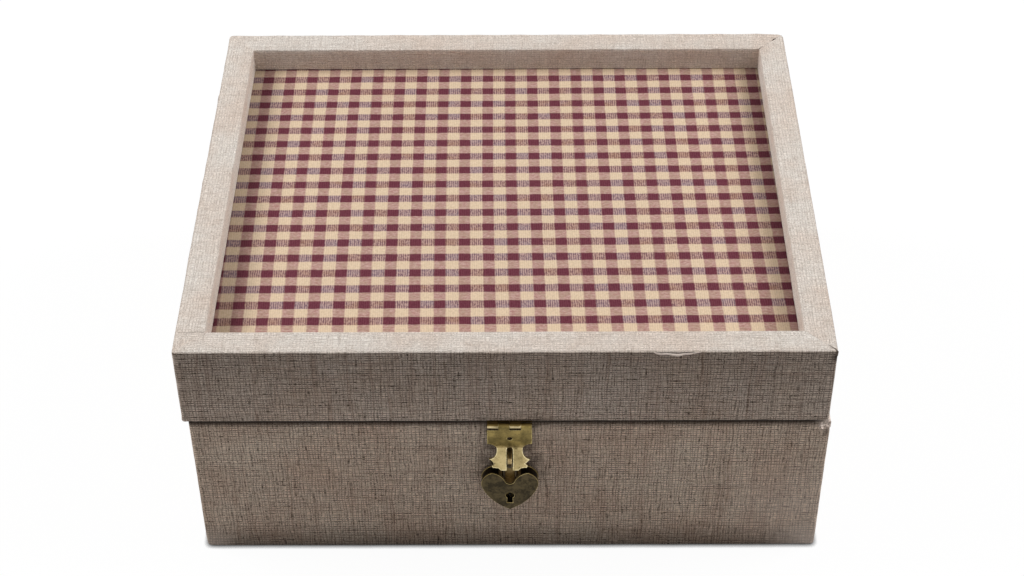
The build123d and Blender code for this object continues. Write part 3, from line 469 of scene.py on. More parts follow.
def hand_made(bm, marks, painted_shade):
    """Presses the cloth in a little, unevenly, and stores worn and grimy places as attributes.

    The last argument is (height where the darkening starts, height where it is full, strength)
    on outer sides: painted shade along the seam, stored in the grime attribute.
    """
    bmesh.ops.remove_doubles(bm, verts=bm.verts, dist=MERGE)
    layers = {kind: bm.verts.layers.float.new(kind) for kind in ("worn", "grime_and_shade")}
    bm.normal_update()
    for vert in bm.verts:
        broad = noise.noise(vert.co / (17 * MM))
        close = noise.noise(vert.co / (5 * MM) + Vector((7, 3, 1)))
        pressed = HAND * (0.1 + 0.45 * broad + 0.4 * close)
        for kind, place, reach, strength in marks:
            near = max(0.0, 1 - (vert.co - Vector(place) * MM).length / (reach * MM))
            if kind in layers:
                vert[layers[kind]] = max(vert[layers[kind]], min(1.0, strength * near * 2))
            else:
                pressed += strength * MM * near * near
        if vert.normal.z < 0.95 and vert.normal.xy.dot(vert.co.xy) > 0:
            starts, full, strength = painted_shade
            share = (vert.co.z - starts) / (full - starts)
            share = strength * min(1.0, max(0.0, share)) * (1 - vert[layers["worn"]])
            vert[layers["grime_and_shade"]] = max(vert[layers["grime_and_shade"]], share)
        vert.co -= vert.normal * pressed


def cloth_piece(name, bm, material, thick=CLOTH_THICK):
    """A finished cloth object, with its thickness on the inside."""
    mesh = bpy.data.meshes.new(name)
    for edge in bm.edges:
        edge.smooth = not edge.is_boundary
    bm.to_mesh(mesh)
    bm.free()
    mesh.polygons.foreach_set("use_smooth", [True] * len(mesh.polygons))
    mesh.materials.append(material)
    piece = bpy.data.objects.new(name, mesh)
    bpy.context.scene.collection.objects.link(piece)
    solid = piece.modifiers.new("thickness", "SOLIDIFY")
    solid.thickness = thick
    solid.offset = -1.0
    return piece


print("cloth", CLOTH_THICK / MM, "mm thick, uneven by", HAND / MM, "mm")

# %% [markdown]
# ## The lid's four linen strips
#
# Each side of the lid has its own strip: turned in inside, round the lower edge, up the
# wall, over the frame and down into the recess. Two strips meet in a mitre at each corner.
# The mitres on the right have opened in small nicks, the back one more, and the back right
# corner is rubbed rounder.

# %% The lid's section
lid_strip_names = ["lid_front_cloth", "lid_right_cloth", "lid_back_cloth", "lid_left_cloth"]
strip_boxes = [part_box(name) for name in lid_strip_names]
lid_low = Vector(min(low[k] for low, high in strip_boxes) for k in range(3))
lid_high = Vector(max(high[k] for low, high in strip_boxes) for k in range(3))
frame_wide = strip_boxes[0][1].y - strip_boxes[0][0].y
panel_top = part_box("gingham_cloth")[1].z
# How far inside the wall's face the turned-in cloth lies, how high it ends, and the gap
# between the strips' last edge and the gingham.
turn_in = 9.2 * MM
lid_turn_top = 101.0 * MM
FOOT_GAP = 0.35 * MM

lid_section = bent([
    (turn_in, lid_turn_top, 0),
    (turn_in, lid_low.z, 0.8 * MM),
    (0.0, lid_low.z, 0.8 * MM),
    (0.0, lid_high.z, 1.1 * MM),
    (frame_wide, lid_high.z, 0.6 * MM),
    (frame_wide, panel_top + FOOT_GAP, 0),
])
print("the lid's section has", len(lid_section), "points and is",
      round(lid_section[-1][2] / MM, 1), "mm long")

# %% Corners and marks of the lid
# Radii of the upright corners, and how far each mitre gapes: front left, front right, back
# right and back left, anticlockwise from above.
CORNER_RADII = [1.9 * MM, 1.6 * MM, 3.0 * MM, 1.6 * MM]
CORNER_GAPES = [0.0, 0.9 * MM, 1.8 * MM, 0.2 * MM]
# Rubbed spots on the front left edge and a swelling at its foot, dents in the front's lower
# edge, a bruised front right corner that is darker near its top, painted shadow on the lower
# edge beside and above the hasp, and two lumps in the left top edge.
LID_MARKS = [
    ("worn", (-154.5, -128, 112), 3.0, 0.35),
    ("worn", (-154.5, -128, 128), 3.0, 0.35),
    ("press", (-154.5, -128, 89), 4.0, -0.5),
    ("press", (120, -128, 88.4), 7.0, 0.5),
    ("press", (96, -128, 88.4), 5.0, 0.35),
    ("press", (40, -128, 88.4), 9.0, 0.25),
    ("press", (150, -128, 133), 3.5, 0.35),
    ("grime_and_shade", (150.5, -128, 129), 3.0, 0.9),
    ("grime_and_shade", (-13, -128, 88.6), 4.5, 0.34),
    ("grime_and_shade", (13, -128, 88.6), 4.5, 0.34),
    ("grime_and_shade", (19, -128, 88.4), 3.5, 0.30),
    ("press", (-154.5, 70, 133), 4.5, -0.55),
    ("press", (-154.5, -2, 133), 4.0, -0.45),
]
# The glue has let the cloth swell a little along the back edge, most on the right, and less
# along the side edges.
LID_MARKS += [("press", (x, 127.5, 133), 26.0, -0.55 - 0.15 * (x + 150) / 300)
              for x in range(-150, 151, 22)]
LID_MARKS += [("press", (-154.5, y, 133), 22.0, -0.30) for y in range(-60, 111, 18)]
LID_MARKS += [("press", (150.5, y, 133), 22.0, -0.15) for y in range(-100, 111, 18)]
# The back wall of the recess is a little darker: painted shade in the recess.
LID_MARKS += [("grime_and_shade", (x, 113.2, 124.0), 12.0, 0.085) for x in range(-136, 137, 8)]
print(len(LID_MARKS), "marks on the lid")

# %% Fold the lid's strips
# A dark line is painted along the lower edge, where the lid meets the body: painted shade
# of the seam.
lid_seam_shade = (lid_low.z + 0.45 * MM, lid_low.z - 0.1 * MM, 0.75)
for quarter, name in enumerate(lid_strip_names):
    bm = bmesh.new()
    ends = (quarter, (quarter + 1) % 4)
    fold_strip(bm, lid_low, lid_high, quarter, lid_section,
               [CORNER_RADII[k] for k in ends], [CORNER_GAPES[k] for k in ends])
    hand_made(bm, LID_MARKS, lid_seam_shade)
    strip = cloth_piece(name.replace("cloth", "linen"), bm, lid_linen)
    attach(strip, "lid")
    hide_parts(name)

# %% [markdown]
# ## Small faults of the lid's covering
#
# Hand covering leaves traces. At the front left the front strip's end lies over the left
# strip, with a cut edge across the rail that has begun to curl. On the front top edge the
# linen has come off the board in one short pale crease, and at the front right a pinch of
# cloth runs over the corner. Each is a small grid of its own, whose points a formula places,
# because these shapes leave the strip's section and its own grid is too coarse for them.

# %% A small piece of cloth
BIT_UV_START = 0.7


def cloth_bit(across, along, place, flat):
    """A small piece of cloth; place(s, t) gives each point for shares s across and t along."""
    bm = bmesh.new()
    uv = bm.loops.layers.uv.verify()
    worn, grime_and_shade = [bm.verts.layers.float.new(kind) for kind in ("worn", "grime_and_shade")]
    grid = bmesh.ops.create_grid(bm, x_segments=across, y_segments=along, size=0.5)
    shares = {v: (v.co.x + 0.5, v.co.y + 0.5) for v in grid["verts"]}
    for vert in grid["verts"]:
        vert.co = Vector(place(*shares[vert])) * MM
    for face in bm.faces:
        for loop in face.loops:
            s, t = shares[loop.vert]
            loop[uv].uv = (s * flat[0] + BIT_UV_START, t * flat[1])
    return bm, shares, worn, grime_and_shade


print("small pieces start", BIT_UV_START, "m along the UV map")

# %% Corner tab
TAB_LEFT, TAB_RIGHT = -154.2, -140.6
TAB_FRONT, TAB_BACK = -127.2, -113.9


def tab_point(s, t):
    """The tab starts inside the cloth below it and rises towards its cut edge and its right end."""
    curl = 0.50 * (max(0.0, s - 0.60) / 0.40) ** 2 * t**8
    wavy = 0.05 * noise.noise(Vector((9 * s, 5 * t, 1.7)))
    rise = -0.30 + 0.40 * t**0.7 * min(1.0, 8 * s) * min(1.0, 8 * (1.02 - s) + t**8) + curl + wavy
    edge = 0.45 * noise.noise(Vector((6 * s, 0.3, 4.1))) * t
    return (TAB_LEFT + (TAB_RIGHT - TAB_LEFT) * s, TAB_FRONT + (TAB_BACK - TAB_FRONT) * t + edge,
            lid_high.z / MM + rise)


bm, shares, worn, grime_and_shade = cloth_bit(26, 26, tab_point, (0.0136, 0.0133))
for vert, (s, t) in shares.items():
    patchy = 0.35 + 0.65 * max(0.0, noise.noise(Vector((14 * s, 2, 8))) + s)
    vert[grime_and_shade] = 0.55 * max(0.0, (t - 0.93) / 0.07) * patchy
tab = cloth_piece("corner_tab_linen", bm, lid_linen, thick=0.25 * MM)
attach(tab, "lid")
print("corner tab:", round(TAB_RIGHT - TAB_LEFT, 1), "by", round(TAB_BACK - TAB_FRONT, 1), "mm")

# %% Lifted crease and corner fold
CREASE_LEFT, CREASE_RIGHT = 66.0, 88.0
# The section of the crease, in from the lid's front edge and up from its top: a groove, then
# a lip that stands out like a small ledge and turns under.
CREASE = [(0.35, -0.35), (0.0, -0.50), (-0.20, -0.80), (-0.30, -1.05), (-0.85, -1.10), (-1.50, -1.25),
          (-1.50, -1.50), (-0.60, -1.90), (0.35, -2.10)]


def crease_point(s, t):
    """A lip of linen that bellies out and down below the lid's front edge."""
    belly = sin(pi * s**0.8) if 0 < s < 1 else 0.0
    belly *= 0.80 + 0.40 * noise.noise(Vector((5 * s, 1.1, 0)))
    out, down = CREASE[round(t * (len(CREASE) - 1))]
    return (CREASE_LEFT + (CREASE_RIGHT - CREASE_LEFT) * s, lid_low.y / MM + 0.40 + (out - 0.40) * belly,
            lid_high.z / MM - 0.60 + (down + 0.60) * belly)


bm, shares, worn, grime_and_shade = cloth_bit(34, len(CREASE) - 1, crease_point, (0.022, 0.0032))
# The lip is worn pale, and the groove above it is darker: painted shade in the groove.
for vert, (s, t) in shares.items():
    vert[worn] = 1.0 if t > 0.45 else 0.0
    vert[grime_and_shade] = 0.42 if t < 0.40 and 0.12 < s < 0.88 else 0.0
crease = cloth_piece("lifted_crease_linen", bm, lid_linen, thick=0.2 * MM)

FOLD_PATH = [(146.6, -124.2, 133.12), (149.0, -126.3, 133.12), (150.1, -127.7, 132.6),
             (150.1, -128.1, 130.5), (149.7, -128.15, 128.0)]
FOLD_ACROSS = Vector((0.75, -0.45, 0.25))


def fold_point(s, t):
    """A pinch of cloth that runs off the frame's front right corner and down the upright edge."""
    place = s * (len(FOLD_PATH) - 1.001)
    start, end = [Vector(FOLD_PATH[int(place) + k]) for k in (0, 1)]
    wide = 0.75 * sin(pi * min(1.0, 0.12 + s)) + 0.1
    return start.lerp(end, place - int(place)) + FOLD_ACROSS * (t - 0.5) * wide


bm, shares, worn, grime_and_shade = cloth_bit(24, 2, fold_point, (0.009, 0.0006))
# The pinch is darker along most of its width: painted shade of its crevice.
for vert, (s, t) in shares.items():
    vert[grime_and_shade] = 0.8 if t < 0.75 else 0.3
fold = cloth_piece("corner_fold_linen", bm, lid_linen, thick=0.2 * MM)
for bit in (crease, fold):
    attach(bit, "lid")

print("the front strip has", crease.name, "and", fold.name)

# %% [markdown]
# ## The body's wrap
#
# The body is wrapped by one long strip, turned in over the rim and under the base. Here its
# four sides are folded one after the other into the same mesh and merged at the corners.
# The strip's two ends overlap on the back wall, away from the hinges, as a slightly raised
# lap. At the front right corner, just under the lid, the cloth has frayed into a pale scrap
# that stands off the board. The lap and the scrap are small grids, as on the lid.

# %% The body's section and marks
body_low, body_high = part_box("body_cloth")
rim_turn_low = 72.0 * MM
base_turn = 8.6 * MM
body_section = bent([
    (base_turn, body_low.z, 0),
    (0.0, body_low.z, 0.35 * MM),
    (0.0, body_high.z, 1.2 * MM),
    (turn_in, body_high.z, 0.8 * MM),
    (turn_in, rim_turn_low, 0),
])
# Both front feet are dented. Under the lid the right corner is rubbed, and the foot of the
# front is paler at both ends, over a broad patch on the right.
BODY_MARKS = [
    ("press", (-151.75, -127.4, 0.4), 5.0, 0.5),
    ("press", (151.75, -127.4, 0.4), 3.5, 0.4),
    ("worn", (151.75, -123.0, 87.6), 9.0, 0.8),
    ("worn", (138.0, -127.4, 27.0), 42.0, 0.11),
    ("worn", (148.0, -127.4, 2.0), 26.0, 0.26),
    ("worn", (-148.0, -127.4, 2.0), 13.0, 0.18),
    ("grime_and_shade", (150.0, -127.4, 80.5), 2.5, 0.5),
]
# Painted shadow of the hasp and the lock darkens the linen round them and behind them.
for side in (-1, 1):
    BODY_MARKS += [
        ("grime_and_shade", (8.6 * side, -127.4, 71.5), 6.5, 0.40),
        ("grime_and_shade", (11.5 * side, -127.4, 62.0), 6.0, 0.32),
        ("grime_and_shade", (11.0 * side, -127.4, 84.5), 4.0, 0.35),
        ("grime_and_shade", (15.0 * side, -127.4, 52.0), 4.0, 0.25),
    ]
print("the body's section is", round(body_section[-1][2] / MM, 1), "mm long and has",
      len(BODY_MARKS), "marks")

# %% Body wrap
BODY_CORNER = 1.6 * MM
# A dark band is painted along the rim, where the lid's edge comes down on it: painted shade
# under the lid.
body_seam_shade = (body_high.z - 3.7 * MM, body_high.z - 0.7 * MM, 0.88)
bm = bmesh.new()
for quarter in range(4):
    fold_strip(bm, body_low, body_high, quarter, body_section, [BODY_CORNER] * 2)
hand_made(bm, BODY_MARKS, body_seam_shade)
wrap = cloth_piece("body_linen", bm, body_linen)
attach(wrap, "box_body")
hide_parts("body_cloth")

# %% Frayed scrap
# The scrap's section, in from the wall's face and up from its torn lower edge. It stands away
# most, 2.2 mm, just above that edge.
FRAY = [(-1.7, 0.0), (-2.2, 0.3), (-1.9, 0.8), (-1.3, 1.5), (-0.7, 2.2), (-0.2, 2.8), (0.30, 3.4)]
FRAY_LEFT, FRAY_WIDE, FRAY_LOW = 145.6, 6.2, 83.5


def fray_point(s, t):
    """A torn scrap at the body's front right corner, under the lid: torn below, loose in the middle."""
    place = min(t * (len(FRAY) - 1), len(FRAY) - 1.001)
    out, up = Vector(FRAY[int(place)]).lerp(Vector(FRAY[int(place) + 1]), place - int(place))
    loose = min(1.0, 5 * s) * (1.0 - s) ** 0.8 * (1.0 + 0.7 * noise.noise(Vector((6 * s, 6 * t, 0.4))))
    torn = 0.9 * noise.noise(Vector((4.5 * s, 0.2, 7.7))) * (1 - t)
    raised = 1.2 * (1 - t) * (1 - s)
    return (FRAY_LEFT + FRAY_WIDE * s, body_low.y / MM + 0.3 + (out - 0.3) * loose,
            FRAY_LOW + up + torn + raised)


bm, shares, worn, grime_and_shade = cloth_bit(20, 18, fray_point, (0.0062, 0.0048))
for vert, (s, t) in shares.items():
    strand = noise.noise(Vector((6 * s + 3 * t, 13 * t - 4 * s, 3)))
    vert[worn] = min(1.0, max(0.0, 0.75 + 1.6 * strand))
    vert[grime_and_shade] = min(0.55, max(0.0, -0.1 - 1.5 * strand))
fray = cloth_piece("frayed_corner_linen", bm, body_linen, thick=0.2 * MM)
print("scrap:", FRAY_WIDE, "mm wide, over", FRAY[-1][1], "mm of height")

# %% Lap on the back wall
LAP_LEFT, LAP_RIGHT = 122.0, 136.0


def lap_point(s, t):
    """The strip's outer end on the back wall: its cut edge stands a cloth's thickness proud."""
    edge = 0.25 * noise.noise(Vector((0.3, 9 * t, 2.2)))
    return (LAP_RIGHT - (LAP_RIGHT - LAP_LEFT) * s + edge * s, body_high.y / MM - 0.15 + 0.5 * s**0.6,
            0.9 + (body_high.z / MM - 2.0) * t)


bm, shares, worn, grime_and_shade = cloth_bit(8, 36, lap_point, (0.014, 0.0856))
for vert, (s, t) in shares.items():
    vert[grime_and_shade] = 0.3 * max(0.0, (s - 0.9) / 0.1)
lap = cloth_piece("body_lap_linen", bm, body_linen, thick=0.3 * MM)
for bit in (fray, lap):
    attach(bit, "box_body")
print("lap:", LAP_RIGHT - LAP_LEFT, "mm wide")

# %% [markdown]
# ## The gingham panel
#
# Gingham is a plain weave of two yarns in equal bands, here wine and cream. Where two wine
# bands cross the cloth is wine, where two cream bands cross it is cream, and elsewhere the
# two colours mix thread by thread. The material draws the ridges of the yarn that lies on
# top in each kind of check, and noise stands for the places where the other yarn shows
# through. The cloth was glued down a little askew, which the UV map holds.

# %% Gingham cloth
# The pitch of the checks, where the first column and row lie, and the cloth's skew, bow and
# slope on the panel.
CHECK_X = 12.02 * MM
CHECK_Y = 11.55 * MM
FIRST_COLUMN = 3.04 * MM
FIRST_ROW = 0.7 * MM
SKEW = -0.016
BOW = 0.06
ROW_SLOPE = 0.0057

gingham_low, gingham_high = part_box("gingham_cloth")
panel_centre = (gingham_low + gingham_high) / 2
panel_size = gingham_high - gingham_low
bm = bmesh.new()
bmesh.ops.create_grid(bm, x_segments=120, y_segments=100, size=0.5)
bmesh.ops.scale(bm, verts=bm.verts, vec=(panel_size.x, panel_size.y, 1))
bmesh.ops.translate(bm, verts=bm.verts, vec=(panel_centre.x, panel_centre.y, gingham_high.z))
uv = bm.loops.layers.uv.verify()
for face in bm.faces:
    for loop in face.loops:
        x, y = loop.vert.co.x - panel_centre.x, loop.vert.co.y - panel_centre.y
        loop[uv].uv = (x - FIRST_COLUMN - SKEW * y - BOW * y * y, y - FIRST_ROW - ROW_SLOPE * x)
for vert in bm.verts:
    vert.co.z -= 0.05 * MM * (1 + noise.noise(vert.co / (22 * MM)))
print("checks:", round(CHECK_X / MM, 2), "by", round(CHECK_Y / MM, 2), "mm")

# %% Bands and yarns of gingham
# The yarn of such cloth is about 0.3 mm thick. It is drawn at 1.06 mm, two pixels and more,
# so that the hatching of the mixed checks still shows.
YARN = 1.06
# The share of a check's pitch that is wine, and half the share over which it turns to cream.
DARK_SHARE = 0.475
BAND_EDGE = 0.025


def band(tree, place, check):
    """1 in the wine bands across one direction and 0 in the cream ones, softly."""
    turns = add(tree, "Math", [place, MM / check, 0.5], operation="MULTIPLY_ADD")
    share = add(tree, "Math", [turns], operation="FRACT")
    share = add(tree, "Math", [share, 0.5], operation="SUBTRACT")
    share = add(tree, "Math", [share], operation="ABSOLUTE")
    half = DARK_SHARE / 2
    return add(tree, "MapRange", [share, half - BAND_EDGE, half + BAND_EDGE, 1.0, 0.0])


def yarns(tree, place, cloth, stretch):
    """1 on the crests of one set of yarns. Noise breaks them up where the weave is loose."""
    crest = crests(tree, add(tree, "Math", [place, pi / YARN], operation="MULTIPLY"))
    loose = patches(tree, cloth, stretch, 0.30, 0.70, -0.62, 0.62, Detail=3.0)
    broken = add(tree, "Math", [crest, loose], operation="ADD")
    return add(tree, "MapRange", [broken, 0.25, 1.0, 0.0, 1.0])


print("yarn drawn at", YARN, "mm,", round(CHECK_X / MM / YARN, 1), "to a check")

# %% Gingham material
# For each kind of check, the colour on the crests of its upper yarn and between them.
GINGHAM = {"cream": ("efd6b9", "e5cbab"), "wine": ("6a333f", "783f4b"),
           "wine_warp": ("b4857d", "d5b3a7"), "wine_weft": ("cfaca1", "76545e")}
LILAC, BROWN, TAN = "9f929c", "ac7f57", "b39a80"
# Painted shade by the rails: (direction, place in mm where it starts, where it is full, and
# the share of the light that is kept there). It lies along the back, under the rail, and most
# of all at the foot of the side rails, in their shade.
RAIL_SHADE = [("Y", 55.0, 127.0, 0.92), ("X", -123.3, -139.3, 0.66), ("X", 123.3, 134.3, 0.58)]

gingham, tree = new_material("woven_gingham")
mm = add(tree, "VectorMath", [add(tree, "UVMap"), IN_MM], operation="MULTIPLY")
# The yarns waver by up to a third of a millimetre.
waver = add(tree, "TexNoise", {"Vector": mm, "Scale": 0.3, "Detail": 2.0}, out="Color")
waver = add(tree, "VectorMath", [waver, (0.5, 0.5, 0.5)], operation="SUBTRACT")
waver = add(tree, "VectorMath", {"Vector": waver, "Scale": 0.7}, operation="SCALE")
cloth = add(tree, "VectorMath", [mm, waver], operation="ADD")
along = {axis: add(tree, "SeparateXYZ", [cloth], out=axis) for axis in "XY"}
column, row = band(tree, along["X"], CHECK_X), band(tree, along["Y"], CHECK_Y)
warps = yarns(tree, along["X"], cloth, (1.05, 0.60, 1))
wefts = yarns(tree, along["Y"], cloth, (0.55, 1.0, 1))
kinds = {}
for kind, (crest, between) in GINGHAM.items():
    upper = wefts if kind == "wine_warp" else warps
    kinds[kind] = add(tree, "Mix", {"Factor_Float": upper, "A_Color": between, "B_Color": crest}, **BLEND)
# Each check of wine weft on cream warp has its own cast, from lilac to brown.
checks = add(tree, "VectorMath", [mm, (MM / CHECK_X, MM / CHECK_Y, 0)], operation="MULTIPLY")
checks = add(tree, "VectorMath", [checks, (0.0, 0.5, 0)], operation="ADD")
checks = add(tree, "VectorMath", [checks], operation="FLOOR")
chance = add(tree, "TexWhiteNoise", {"Vector": checks}, out="Value")
browner = add(tree, "MapRange", [chance, 0.35, 0.60, 0.0, 1.0])
cast = add(tree, "Mix", {"Factor_Float": browner, "A_Color": LILAC, "B_Color": BROWN}, **BLEND)
cast_share = patches(tree, mm, (0.10, 0.16, 1), 0.35, 0.65, 0.05, 0.38)
# The crossings of a wine column with cream rows shift from rose to tan across each check.
tan_share = patches(tree, mm, (0.22, 0.22, 1), 0.40, 0.62, 0.0, 0.40)
for kind, share, tint in (("wine_weft", cast_share, cast), ("wine_warp", tan_share, TAN)):
    colours = {"Factor_Float": share, "A_Color": kinds[kind], "B_Color": tint}
    kinds[kind] = add(tree, "Mix", colours, **BLEND)
# The rows choose between two kinds in a cream column and between the other two in a wine one.
cream_column, wine_column = [
    add(tree, "Mix", {"Factor_Float": row, "A_Color": kinds[light], "B_Color": kinds[dark]}, **BLEND)
    for light, dark in (("cream", "wine_weft"), ("wine_warp", "wine"))
]
woven = {"Factor_Float": column, "A_Color": cream_column, "B_Color": wine_column}
woven = add(tree, "Mix", woven, **BLEND)
# The dye's tone varies at random, and the painted shade by the rails is multiplied into it.
dye_and_shade = patches(tree, cloth, (0.9, 0.9, 1), 0.3, 0.7, 0.90, 1.07, Detail=3.0)
for axis, starts, full, kept in RAIL_SHADE:
    rail_shade_share = add(tree, "MapRange", [along[axis], starts, full, 1.0, kept])
    dye_and_shade = add(tree, "Math", [dye_and_shade, rail_shade_share], operation="MULTIPLY")
woven = add(tree, "VectorMath", {"Vector": woven, "Scale": dye_and_shade}, operation="SCALE")
bump = add(tree, "Bump", {"Height": warps, "Strength": 0.35, "Distance": 0.00012})
surface = add(tree, "BsdfPrincipled", {"Base Color": woven, "Roughness": 0.9, "Normal": bump,
                                       "Specular IOR Level": 0.12})
add(tree, "OutputMaterial", {"Surface": surface})
print("gingham material:", len(tree.nodes), "nodes")

# %% Gingham sheet
gingham_sheet = cloth_piece("gingham", bm, gingham, thick=0.4 * MM)
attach(gingham_sheet, "lid")
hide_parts("gingham_cloth")
print("gingham flat", round(panel_size.x / MM, 1), "x", round(panel_size.y / MM, 1), "mm")

# %% [markdown]
# ## Metal that has aged
#
# The hasp is pressed brass with an olive patina, and the padlock a darker, bronzed brass.
# Both are thin sheet, whose edges are rubbed bright. A metal shows what it mirrors, so its
# look is mostly a dull, uneven patina, less sharp where it is thick. The edges get a small
# bevel with a brighter material of their own: partly what polishing and handling leave, and
# partly a painted highlight. Some bands on the hasp and the lock are painted light and shade.

# %% Aged metal
MIDDLE_EDGE_MM = 1.2


def aged_metal(name, clean, dull, stain, roughness=0.38, cloud_mm=7.0, dullness=(0.42, 0.60), bands=(),
               middle=None):
    """Patinated metal: clean and dull metal in clouds, with stains.

    Each band is (height from, height to, colour, wander) in mm: the colour fills in between
    the two heights, and wander moves them up and down with the clouds. Middle, if given, is
    a half width in mm and the colour inside it.
    """
    material, tree = new_material(name)
    mm = add(tree, "VectorMath", [add(tree, "TexCoord", out="Object"), IN_MM], operation="MULTIPLY")
    clouds = {"Vector": mm, "Scale": 1 / cloud_mm, "Detail": 4.0, "Roughness": 0.65}
    cloud = add(tree, "TexNoise", clouds)
    dulled = add(tree, "MapRange", [cloud, *dullness, 0.0, 1.0])
    specks = patches(tree, mm, (1.1, 1.1, 1.1), 0.56, 0.72, 0.0, 0.75, Detail=3.0, Roughness=0.7)
    layers = [(dulled, dull), (specks, stain)]
    height = add(tree, "SeparateXYZ", [mm], out="Z")
    swing = add(tree, "Math", [cloud, 0.5], operation="SUBTRACT")
    # A band shows less where the metal is stained or dull.
    unstained = add(tree, "Math", [1.0, specks], operation="SUBTRACT")
    undulled = add(tree, "MapRange", [cloud, 0.35, 0.65, 1.0, 0.40])
    for start, end, bright, wander in bands:
        moved = add(tree, "Math", [swing, wander, height], operation="MULTIPLY_ADD")
        share = add(tree, "MapRange", [moved, start, end, 0.0, 1.0])
        for left in (unstained, undulled):
            share = add(tree, "Math", [share, left], operation="MULTIPLY")
        layers.append((share, bright))
    if middle:
        half, inner = middle
        across = add(tree, "Math", [add(tree, "SeparateXYZ", [mm], out="X")], operation="ABSOLUTE")
        inside = add(tree, "MapRange", [across, half, half + MIDDLE_EDGE_MM, 1.0, 0.0])
        layers.append((inside, inner))
    colour = clean
    for share, tint in layers:
        colour = add(tree, "Mix", {"Factor_Float": share, "A_Color": colour, "B_Color": tint}, **BLEND)
    scratches = patches(tree, mm, (0.6, 4.0, 4.0), 0.0, 1.0, Detail=3.0)
    rough = add(tree, "MapRange", [cloud, 0.3, 0.7, roughness - 0.08, roughness + 0.14])
    relief = add(tree, "Math", [scratches, specks], operation="SUBTRACT")
    bump = add(tree, "Bump", {"Height": relief, "Strength": 0.25, "Distance": 0.00005})
    surface = add(tree, "BsdfPrincipled", {"Base Color": colour, "Metallic": 1.0, "Roughness": rough,
                                           "Normal": bump})
    add(tree, "OutputMaterial", {"Surface": surface})
    return material


print("clouds of patina are some 3.5 to 7 mm wide, and stains about 1 mm")

# %% Metals of this box
# The barrel is brown above, painted shadow of the lid, bright below, a painted reflection of
# the white floor, and dark again under that, painted shade. The leaf is brown at its top in the
# same painted shadow, and its flared end, which is pulled to open the box, is paler: partly
# rubbed, partly painted light, as it faces up.
hasp_brass = aged_metal("pressed_brass_olive_patina", "9a8750", "665934", "463b24",
                        dullness=(0.34, 0.62),
                        bands=[(87.75, 88.1, "5b4928", 0.6), (73.8, 71.5, "c3b081", 6.0)])
barrel_brass = aged_metal("pressed_brass_barrel", "8f7b4a", "62532f", "3c321f",
                          bands=[(87.95, 88.15, "5b4928", 0.4), (87.85, 87.75, "e2d0a4", 0.2),
                                 (87.1, 87.0, "4f4024", 0.2)])
# The leaf's edges are paler: partly rubbed brass, partly a painted highlight.
hasp_rim = aged_metal("rubbed_brass_edge_painted_highlight", "f0e2b8", "cdbb84", "8f7d4c", roughness=0.30)
# A softer pale border runs round the leaf's face, inside its bright edge: partly rubbed,
# partly a painted highlight, and palest on the flared end, which is painted light.
hasp_border = aged_metal("pressed_brass_rubbed_border_painted_highlight", "b7a56d", "85764a", "5f5232", cloud_mm=3.5,
                         dullness=(0.38, 0.62), bands=[(73.8, 71.5, "efe0b2", 6.0)])
# The staple is dark, with one pale stripe across its loop, a painted highlight where its bend
# faces the light. Its edges are paler, partly rubbed and partly painted highlight, but dark
# below the stripe.
staple_brass = aged_metal("staple_dark_bronze", "3a2e1d", "241c12", "130f0b", roughness=0.42,
                          cloud_mm=4.0,
                          bands=[(67.3, 67.6, "b39a6c", 0.3), (69.1, 69.3, "241c12", 0.1)])
staple_rim = aged_metal("staple_rubbed_edge_painted_highlight", "c9b487", "8f7a4c", "4a3d25", roughness=0.34,
                        bands=[(67.8, 67.2, "241c12", 0.3)])
lock_brass = aged_metal("bronzed_brass", "4f4530", "342d1f", "211b13", roughness=0.42, cloud_mm=3.5)
# The lock's edges are paler: partly rubbed, partly a painted highlight.
lock_rim = aged_metal("rubbed_bronzed_edge_painted_highlight", "b3a06f", "8a7748", "55492f", roughness=0.34)
# The back plate is a lighter brown than the face: painted light, for the light it catches between the
# lobes.
lock_back = aged_metal("brown_brass_back", "8f7c57", "77663f", "463a28", roughness=0.42, cloud_mm=4.0)
# The case's band is painted black round the lobes, painted shadow under the hasp's ears, and
# lighter brown in the middle, at its dip and its tip, painted light where the notch faces up.
lock_side = aged_metal("case_band_painted_shade_and_light", "2c2216", "18130d", "0e0b08", roughness=0.45,
                       middle=(4.4, "a08c69"))
# The lock's inner works are near black, painted shade, so that the keyhole reads dark.
lock_inside = aged_metal("lock_works_painted_shade", "15110c", "0e0b08", "080605", roughness=0.5)
# The hinges' and the steel's edges are paler too: partly rubbed, partly a painted highlight.
hinge_brass = aged_metal("aged_hinge_brass", "a08b55", "7b6a3f", "4f4228", roughness=0.34)
hinge_rim = aged_metal("rubbed_hinge_edge_painted_highlight", "d8c694", "b5a069", "83703f", roughness=0.28)
steel = aged_metal("browned_steel", "54493a", "383026", "211c16", roughness=0.30)
steel_rim = aged_metal("browned_steel_edge_painted_highlight", "b5a78c", "8b7d64", "5a4f3e", roughness=0.28)
print("metals:", hasp_brass.name, lock_brass.name, hinge_brass.name, steel.name)

# %% [markdown]
# ## Dressing the metal pieces
#
# A pressed or cast piece never has a knife edge. Each metal piece is a copy of its solid
# with its facets joined into clean faces, and a Bevel modifier that rounds only the true
# edges. The bevel's faces take the rim material, which draws the thin bright outline, partly
# rubbed metal and partly a painted highlight. The hasp's leaf has been handled so much that a
# border inside its edge is rubbed too, so its front face gets an inset with a third material,
# whose paleness is partly a painted highlight as well.

# %% Rounded copies of the metal solids
# Edges that turn by this many degrees or more are rounded.
BEVEL_FROM = 32
node_body = {
    name: body for body, names in frame["record"]["behaviour"]["bodies"].items() for name in names
}


